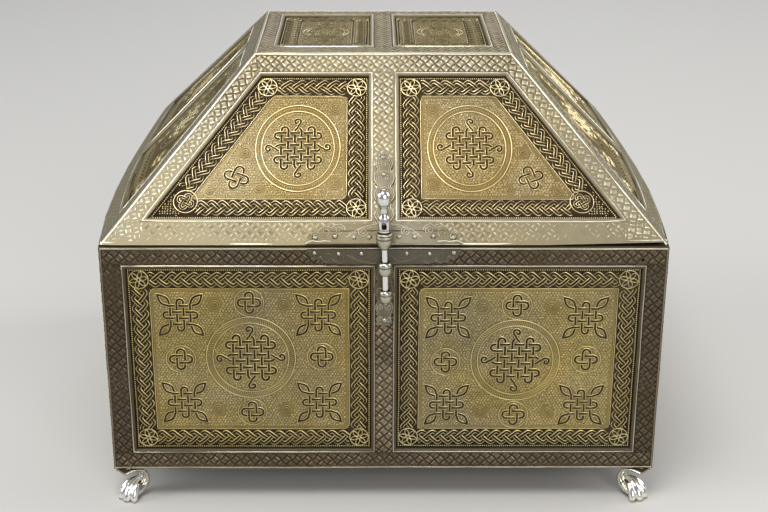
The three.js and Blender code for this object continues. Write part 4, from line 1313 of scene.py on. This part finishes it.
def place_foot(sx, sy):
    f = foot()
    v = np.concatenate(f.v)
    a = math.atan2(sy, sx)
    x = 93.6 * sx + v[:, 0] * math.cos(a) - v[:, 1] * math.sin(a)
    y = 87.4 * sy + v[:, 0] * math.sin(a) + v[:, 1] * math.cos(a)
    b = Buf()
    b.add(np.stack([x, y, v[:, 2]], 1), np.concatenate(f.t), np.concatenate(f.q), np.concatenate(f.f) if f.f else None)
    # fixing leaf under the floor
    lf = Buf()
    p = [(-3.4, -3.4), (6.6, -3.4), (6.6, 3.4), (-3.4, 3.4)]
    pts = np.array([(93.6 * sx + q[0] * math.cos(a) - q[1] * math.sin(a), 87.4 * sy + q[0] * math.sin(a) + q[1] * math.cos(a)) for q in p])
    pts[:, 0] = np.clip(pts[:, 0], -99.5, 99.5)
    pts[:, 1] = np.clip(pts[:, 1], -89.5, 89.5)
    vv = [(*q, 11.7) for q in pts] + [(*q, 12.7) for q in pts]
    b.add(vv, 0.7, quads=[(0, 3, 2, 1), (4, 5, 6, 7), (0, 1, 5, 4), (1, 2, 6, 5), (2, 3, 7, 6), (3, 0, 4, 7)])
    return b


# ------------------------------------------------------------------ materials
def nodes_of(mat):
    mat.use_nodes = True
    nt = mat.node_tree
    nt.nodes.clear()
    return nt, nt.nodes.new


def gilt(name, bright, mid, dark, worn, rough=0.34, patina=0.5, bump=0.25, stripes=0.0, silver=0.4, metal_dark=0.35, lift=0.0):
    """Worn silver-gilt. bright/mid/dark: wire tops (painted highlight, and where the gilding is rubbed), body, and
    crevices (painted shade); worn: the silver that shows through.
    """
    mat = bpy.data.materials.new(name)
    nt, new = nodes_of(mat)
    link = nt.links.new
    out, bsdf = new("ShaderNodeOutputMaterial"), new("ShaderNodeBsdfPrincipled")
    link(bsdf.outputs[0], out.inputs[0])
    co = new("ShaderNodeTexCoord")
    tone = new("ShaderNodeAttribute")
    tone.attribute_name = "tone"

    def noise(scale, detail=4.0, rough_=0.55):
        n = new("ShaderNodeTexNoise")
        n.inputs["Scale"].default_value = scale
        n.inputs["Detail"].default_value = detail
        n.inputs["Roughness"].default_value = rough_
        link(co.outputs["Object"], n.inputs["Vector"])
        return n

    def ramp(src, stops):
        r = new("ShaderNodeValToRGB")
        e = r.color_ramp.elements
        e[0].position, e[0].color = stops[0][0], (*stops[0][1], 1)
        e[1].position, e[1].color = stops[-1][0], (*stops[-1][1], 1)
        for p, c in stops[1:-1]:
            x = e.new(p)
            x.color = (*c, 1)
        link(src, r.inputs[0])
        return r

    def math_(op, a, b=None, clamp=False):
        m = new("ShaderNodeMath")
        m.operation = op
        m.use_clamp = clamp
        for k, x in enumerate((a, b)):
            if x is None:
                continue
            if isinstance(x, (int, float)):
                m.inputs[k].default_value = x
            else:
                link(x, m.inputs[k])
        return m.outputs[0]

    def mix(f, a, b, mode="MIX"):
        m = new("ShaderNodeMix")
        m.data_type = "RGBA"
        m.blend_type = mode
        if isinstance(f, (int, float)):
            m.inputs[0].default_value = f
        else:
            link(f, m.inputs[0])
        for k, x in ((6, a), (7, b)):
            if isinstance(x, tuple):
                m.inputs[k].default_value = (*x, 1)
            else:
                link(x, m.inputs[k])
        return m.outputs[2]

    big, fine, grit = noise(28.0, 3.0), noise(330.0, 3.0), noise(1600.0, 2.0)
    # tone (painted shade and highlight, with the rubbed tops), disturbed a little so that it isn't even
    t = math_("ADD", tone.outputs["Fac"], math_("MULTIPLY", math_("SUBTRACT", fine.outputs[0], 0.5), 0.14))
    t = math_("ADD", t, lift, clamp=True)
    # the gold and plain ramps run from the dark colour at low tone, painted shade, to the bright colour at high tone,
    # painted highlight
    gold = ramp(t, [(0.0, dark), (0.14, dark), (0.32, tuple(0.6 * d + 0.4 * m for d, m in zip(dark, mid))), (0.6, mid), (0.92, bright)])
    plain = ramp(t, [(0.0, dark), (0.14, dark), (0.34, tuple(0.7 * d + 0.3 * m for d, m in zip(dark, worn))), (0.66, tuple(0.72 * m for m in worn)), (0.95, tuple(min(1, 1.1 * c) for c in worn))])
    rubbed = ramp(big.outputs[0], [(0.38, (0, 0, 0)), (0.64, (1, 1, 1))])
    edge = ramp(t, [(0.45, (0, 0, 0)), (0.95, (1, 1, 1))])
    f = math_("MULTIPLY", math_("ADD", math_("MULTIPLY", rubbed.outputs[0], 0.65), math_("MULTIPLY", edge.outputs[0], 0.35)), silver, clamp=True)
    colour = mix(f, gold.outputs[0], plain.outputs[0])
    # brown tarnish in soft patches
    stain = ramp(noise(75.0, 5.0, 0.65).outputs[0], [(0.46, (0, 0, 0)), (0.72, (1, 1, 1))])
    colour = mix(math_("MULTIPLY", stain.outputs[0], patina), colour, tuple(0.5 * d + 0.28 * m for d, m in zip(dark, mid)))
    link(colour, bsdf.inputs["Base Color"])
    met = ramp(t, [(0.08, (metal_dark,) * 3), (0.5, (1, 1, 1))])
    link(met.outputs[0], bsdf.inputs["Metallic"])
    ro = ramp(t, [(0.0, (0.82,) * 3), (0.35, (rough + 0.14,) * 3), (0.9, (rough,) * 3)])
    ro2 = math_("ADD", ro.outputs[0], math_("MULTIPLY", math_("SUBTRACT", fine.outputs[0], 0.5), 0.22), clamp=True)
    link(ro2, bsdf.inputs["Roughness"])
    height = math_("ADD", math_("MULTIPLY", fine.outputs[0], 0.7), math_("MULTIPLY", grit.outputs[0], 0.3))
    if stripes:
        uv = new("ShaderNodeUVMap")
        uv.uv_map = "UVMap"
        sep = new("ShaderNodeSeparateXYZ")
        link(uv.outputs[0], sep.inputs[0])
        s = math_("SINE", math_("MULTIPLY", sep.outputs[1], 2 * math.pi * 5.5))
        height = math_("ADD", height, math_("MULTIPLY", s, stripes))
    bp = new("ShaderNodeBump")
    bp.inputs["Strength"].default_value = bump
    bp.inputs["Distance"].default_value = 0.0003
    link(height, bp.inputs["Height"])
    link(bp.outputs[0], bsdf.inputs["Normal"])
    return mat


# the box's frame, moulding and shell colours are set darker than the lid's
MAT = {
    "box_filigree": gilt("box_filigree", (0.92, 0.79, 0.40), (0.52, 0.39, 0.12), (0.030, 0.018, 0.006), (0.62, 0.60, 0.47), rough=0.34, patina=0.34, silver=0.55),
    "lid_filigree": gilt("lid_filigree", (0.88, 0.73, 0.39), (0.33, 0.235, 0.078), (0.040, 0.024, 0.007), (0.76, 0.72, 0.56), rough=0.33, patina=0.18, silver=0.4),
    "box_frame": gilt("box_frame", (0.46, 0.37, 0.235), (0.20, 0.148, 0.08), (0.026, 0.017, 0.009), (0.37, 0.33, 0.27), rough=0.44, patina=0.5, stripes=0.5, silver=0.6),
    "lid_frame": gilt("lid_frame", (0.80, 0.73, 0.52), (0.50, 0.43, 0.27), (0.11, 0.08, 0.04), (0.70, 0.68, 0.59), rough=0.38, patina=0.14, stripes=0.5, silver=0.65),
    "box_moulding": gilt("box_moulding", (0.56, 0.50, 0.36), (0.26, 0.21, 0.12), (0.03, 0.022, 0.012), (0.50, 0.48, 0.41), rough=0.32, patina=0.45, silver=0.6),
    "lid_moulding": gilt("lid_moulding", (0.84, 0.79, 0.62), (0.52, 0.46, 0.30), (0.09, 0.07, 0.035), (0.80, 0.78, 0.70), rough=0.34, patina=0.1, silver=0.7),
    "clasp": gilt("clasp", (0.50, 0.455, 0.34), (0.20, 0.165, 0.09), (0.05, 0.03, 0.012), (0.50, 0.49, 0.41), rough=0.4, patina=0.3, silver=0.7),
    "box_clasp": gilt("box_clasp", (0.50, 0.47, 0.38), (0.22, 0.185, 0.12), (0.03, 0.022, 0.012), (0.50, 0.50, 0.45), rough=0.3, patina=0.3, silver=0.7),
    "feet": gilt("feet", (0.90, 0.86, 0.74), (0.52, 0.40, 0.16), (0.05, 0.03, 0.01), (0.86, 0.86, 0.84), rough=0.16, patina=0.06, silver=0.85),
    "pin": gilt("pin", (0.80, 0.79, 0.76), (0.42, 0.40, 0.36), (0.03, 0.025, 0.02), (0.80, 0.80, 0.80), rough=0.15, patina=0.08, silver=0.9),
    "box_shell": gilt("box_shell", (0.30, 0.25, 0.16), (0.20, 0.16, 0.10), (0.05, 0.04, 0.02), (0.34, 0.33, 0.28), rough=0.45, patina=0.4, lift=0.3),
    "lid_shell": gilt("lid_shell", (0.66, 0.60, 0.42), (0.46, 0.40, 0.25), (0.10, 0.08, 0.04), (0.62, 0.61, 0.54), rough=0.38, patina=0.2, lift=0.35),
}

# ------------------------------------------------------------------ pieces
for name, wall, slope in SIDES:
    rich = name == "front"
    for i, seat in enumerate(wall_seats(wall.half)):
        b = wall_panel(seat, -1 if i == 0 else 1, rich).place(wall)
        node = "panel_%s_%s" % (name, "right" if i else "left")
        make("filigree_" + node, b, MAT["box_filigree"], [node])
    for i, seat in enumerate(slope_seats(slope.half)):
        b = slope_panel(seat, -1 if i == 0 else 1, rich).place(slope)
        node = "lid_panel_%s_%s" % (name, "right" if i else "left")
        make("filigree_" + node, b, MAT["lid_filigree"], [node])
for i, seat in enumerate(top_seats()):
    node = "lid_panel_top_%s" % ("right" if i else "left")
    make("filigree_" + node, top_panel(seat, -1 if i == 0 else 1).place(TOP), MAT["lid_filigree"], [node])

make("box_frame_weave", body_bands(), MAT["box_frame"])
make("lid_frame_weave", lid_bands(), MAT["lid_frame"])
make("box_mouldings", body_mouldings(), MAT["box_moulding"])
make("lid_mouldings", lid_mouldings(), MAT["lid_moulding"])

make("lid_clasp_worked", lid_clasp(), MAT["clasp"], ["lid_clasp_plate"])
make("box_clasp_worked", box_clasp(), MAT["box_clasp"], ["box_clasp_plate"])
for sx, sy, name in ((-1, -1, "front_left"), (1, -1, "front_right"), (1, 1, "back_right"), (-1, 1, "back_left")):
    make("paw_" + name, place_foot(sx, sy), MAT["feet"], ["foot_" + name], wander=False)

pin_ob = make("pin_turned", pin(), MAT["pin"], ["locking_pin"], wander=False)
# cross hole through the barrel
cm = bpy.data.meshes.new("pin_hole")
ring = [(0.85 * math.cos(a) * 0.001, 0.85 * 1.3 * math.sin(a) * 0.001) for a in np.linspace(0, 2 * np.pi, 20, endpoint=False)]
hx, hz = lean(Z0 + 97.6) * 0.001, (Z0 + 97.6) * 0.001
cm.from_pydata([(hx + x, (PIN_Y - 5) * 0.001, hz + z) for x, z in ring] + [(hx + x, (PIN_Y + 5) * 0.001, hz + z) for x, z in ring], [],
               [tuple(range(20)), tuple(range(39, 19, -1))] + [(i, 20 + i, 20 + (i + 1) % 20, (i + 1) % 20) for i in range(20)])
cut = bpy.data.objects.new("pin_hole", cm)
bpy.context.scene.collection.objects.link(cut)
mod = pin_ob.modifiers.new("hole", "BOOLEAN")
mod.operation, mod.object, mod.solver = "DIFFERENCE", cut, "EXACT"
dg = bpy.context.evaluated_depsgraph_get()
done = bpy.data.meshes.new_from_object(pin_ob.evaluated_get(dg))
pin_ob.modifiers.clear()
if len(done.polygons) > 200:
    pin_ob.data = done
bpy.data.objects.remove(cut)

for node, mat in (("casket_box", "box_shell"), ("lid_shell", "lid_shell")):
    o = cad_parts[node]
    o.data.materials.clear()
    o.data.materials.append(MAT[mat])

# ------------------------------------------------------------------ stage, light, camera
floor_me = bpy.data.meshes.new("floor")
floor_me.from_pydata([(-3, -2.2, 0), (3, -2.2, 0), (3, 1.4, 0), (-3, 1.4, 0), (3, 1.9, 0.12), (-3, 1.9, 0.12), (3, 2.3, 0.6), (-3, 2.3, 0.6), (3, 2.4, 2.6), (-3, 2.4, 2.6)], [],
                     [(0, 1, 2, 3), (3, 2, 4, 5), (5, 4, 6, 7), (7, 6, 8, 9)])
floor = bpy.data.objects.new("floor", floor_me)
bpy.context.scene.collection.objects.link(floor)
for poly in floor_me.polygons:
    poly.use_smooth = True
fm = bpy.data.materials.new("floor")
nt, new = nodes_of(fm)
o_, b_ = new("ShaderNodeOutputMaterial"), new("ShaderNodeBsdfPrincipled")
nt.links.new(b_.outputs[0], o_.inputs[0])
b_.inputs["Base Color"].default_value = (0.60, 0.59, 0.57, 1)
b_.inputs["Roughness"].default_value = 0.6
floor_me.materials.append(fm)

world = bpy.data.worlds.new("studio")
bpy.context.scene.world = world
world.use_nodes = True
bg = world.node_tree.nodes["Background"]
bg.inputs[0].default_value = (0.92, 0.95, 1.0, 1)
bg.inputs[1].default_value = 0.30


def area(name, loc, target, size, power, colour=(1, 1, 1), size_y=None):
    li = bpy.data.lights.new(name, "AREA")
    li.energy, li.color, li.size = power, colour, size
    if size_y:
        li.shape, li.size_y = "RECTANGLE", size_y
    ob = bpy.data.objects.new(name, li)
    bpy.context.scene.collection.objects.link(ob)
    ob.location = loc
    ob.rotation_mode = "QUATERNION"
    ob.rotation_quaternion = (Vector(target) - Vector(loc)).to_track_quat("-Z", "Y")
    return ob


area("key", (-0.25, -0.55, 1.25), (0, 0, 0.08), 0.5, 8.5, (1.0, 0.97, 0.92))
area("front", (0.5, -1.35, 0.62), (0, 0, 0.08), 0.7, 7.5, (1.0, 0.98, 0.95))
area("left", (-1.3, -0.3, 0.7), (0, 0, 0.08), 0.8, 9, (0.94, 0.97, 1.0))
area("right", (1.3, 0.2, 0.8), (0, 0, 0.08), 0.8, 8, (1.0, 0.98, 0.95))
area("back", (0.1, 1.3, 1.1), (0, 0, 0.08), 0.9, 6, (0.95, 0.97, 1.0))

cam_data = bpy.data.cameras.new("camera")
cam_data.sensor_width = 36.0
cam_data.lens = 1450.73 * 36.0 / 768.0
cam_data.clip_start, cam_data.clip_end = 0.01, 50
cam = bpy.data.objects.new("camera", cam_data)
bpy.context.scene.collection.objects.link(cam)
cam.rotation_mode = "QUATERNION"
cam.location = (-0.0046219, -0.5645248, 0.2694678 + 0.013)
rot = Matrix.Rotation(-0.0095, 4, "Z") @ Matrix.Rotation(math.radians(90) - 0.3712, 4, "X") @ Matrix.Rotation(0.0031, 4, "Z")
cam.rotation_quaternion = rot.to_quaternion()
bpy.context.scene.camera = cam
bpy.context.scene.view_settings.view_transform = "Standard"

total = sum(COUNTS.values())
print("triangles made:", total, {k: v for k, v in sorted(COUNTS.items(), key=lambda x: -x[1])[:8]})
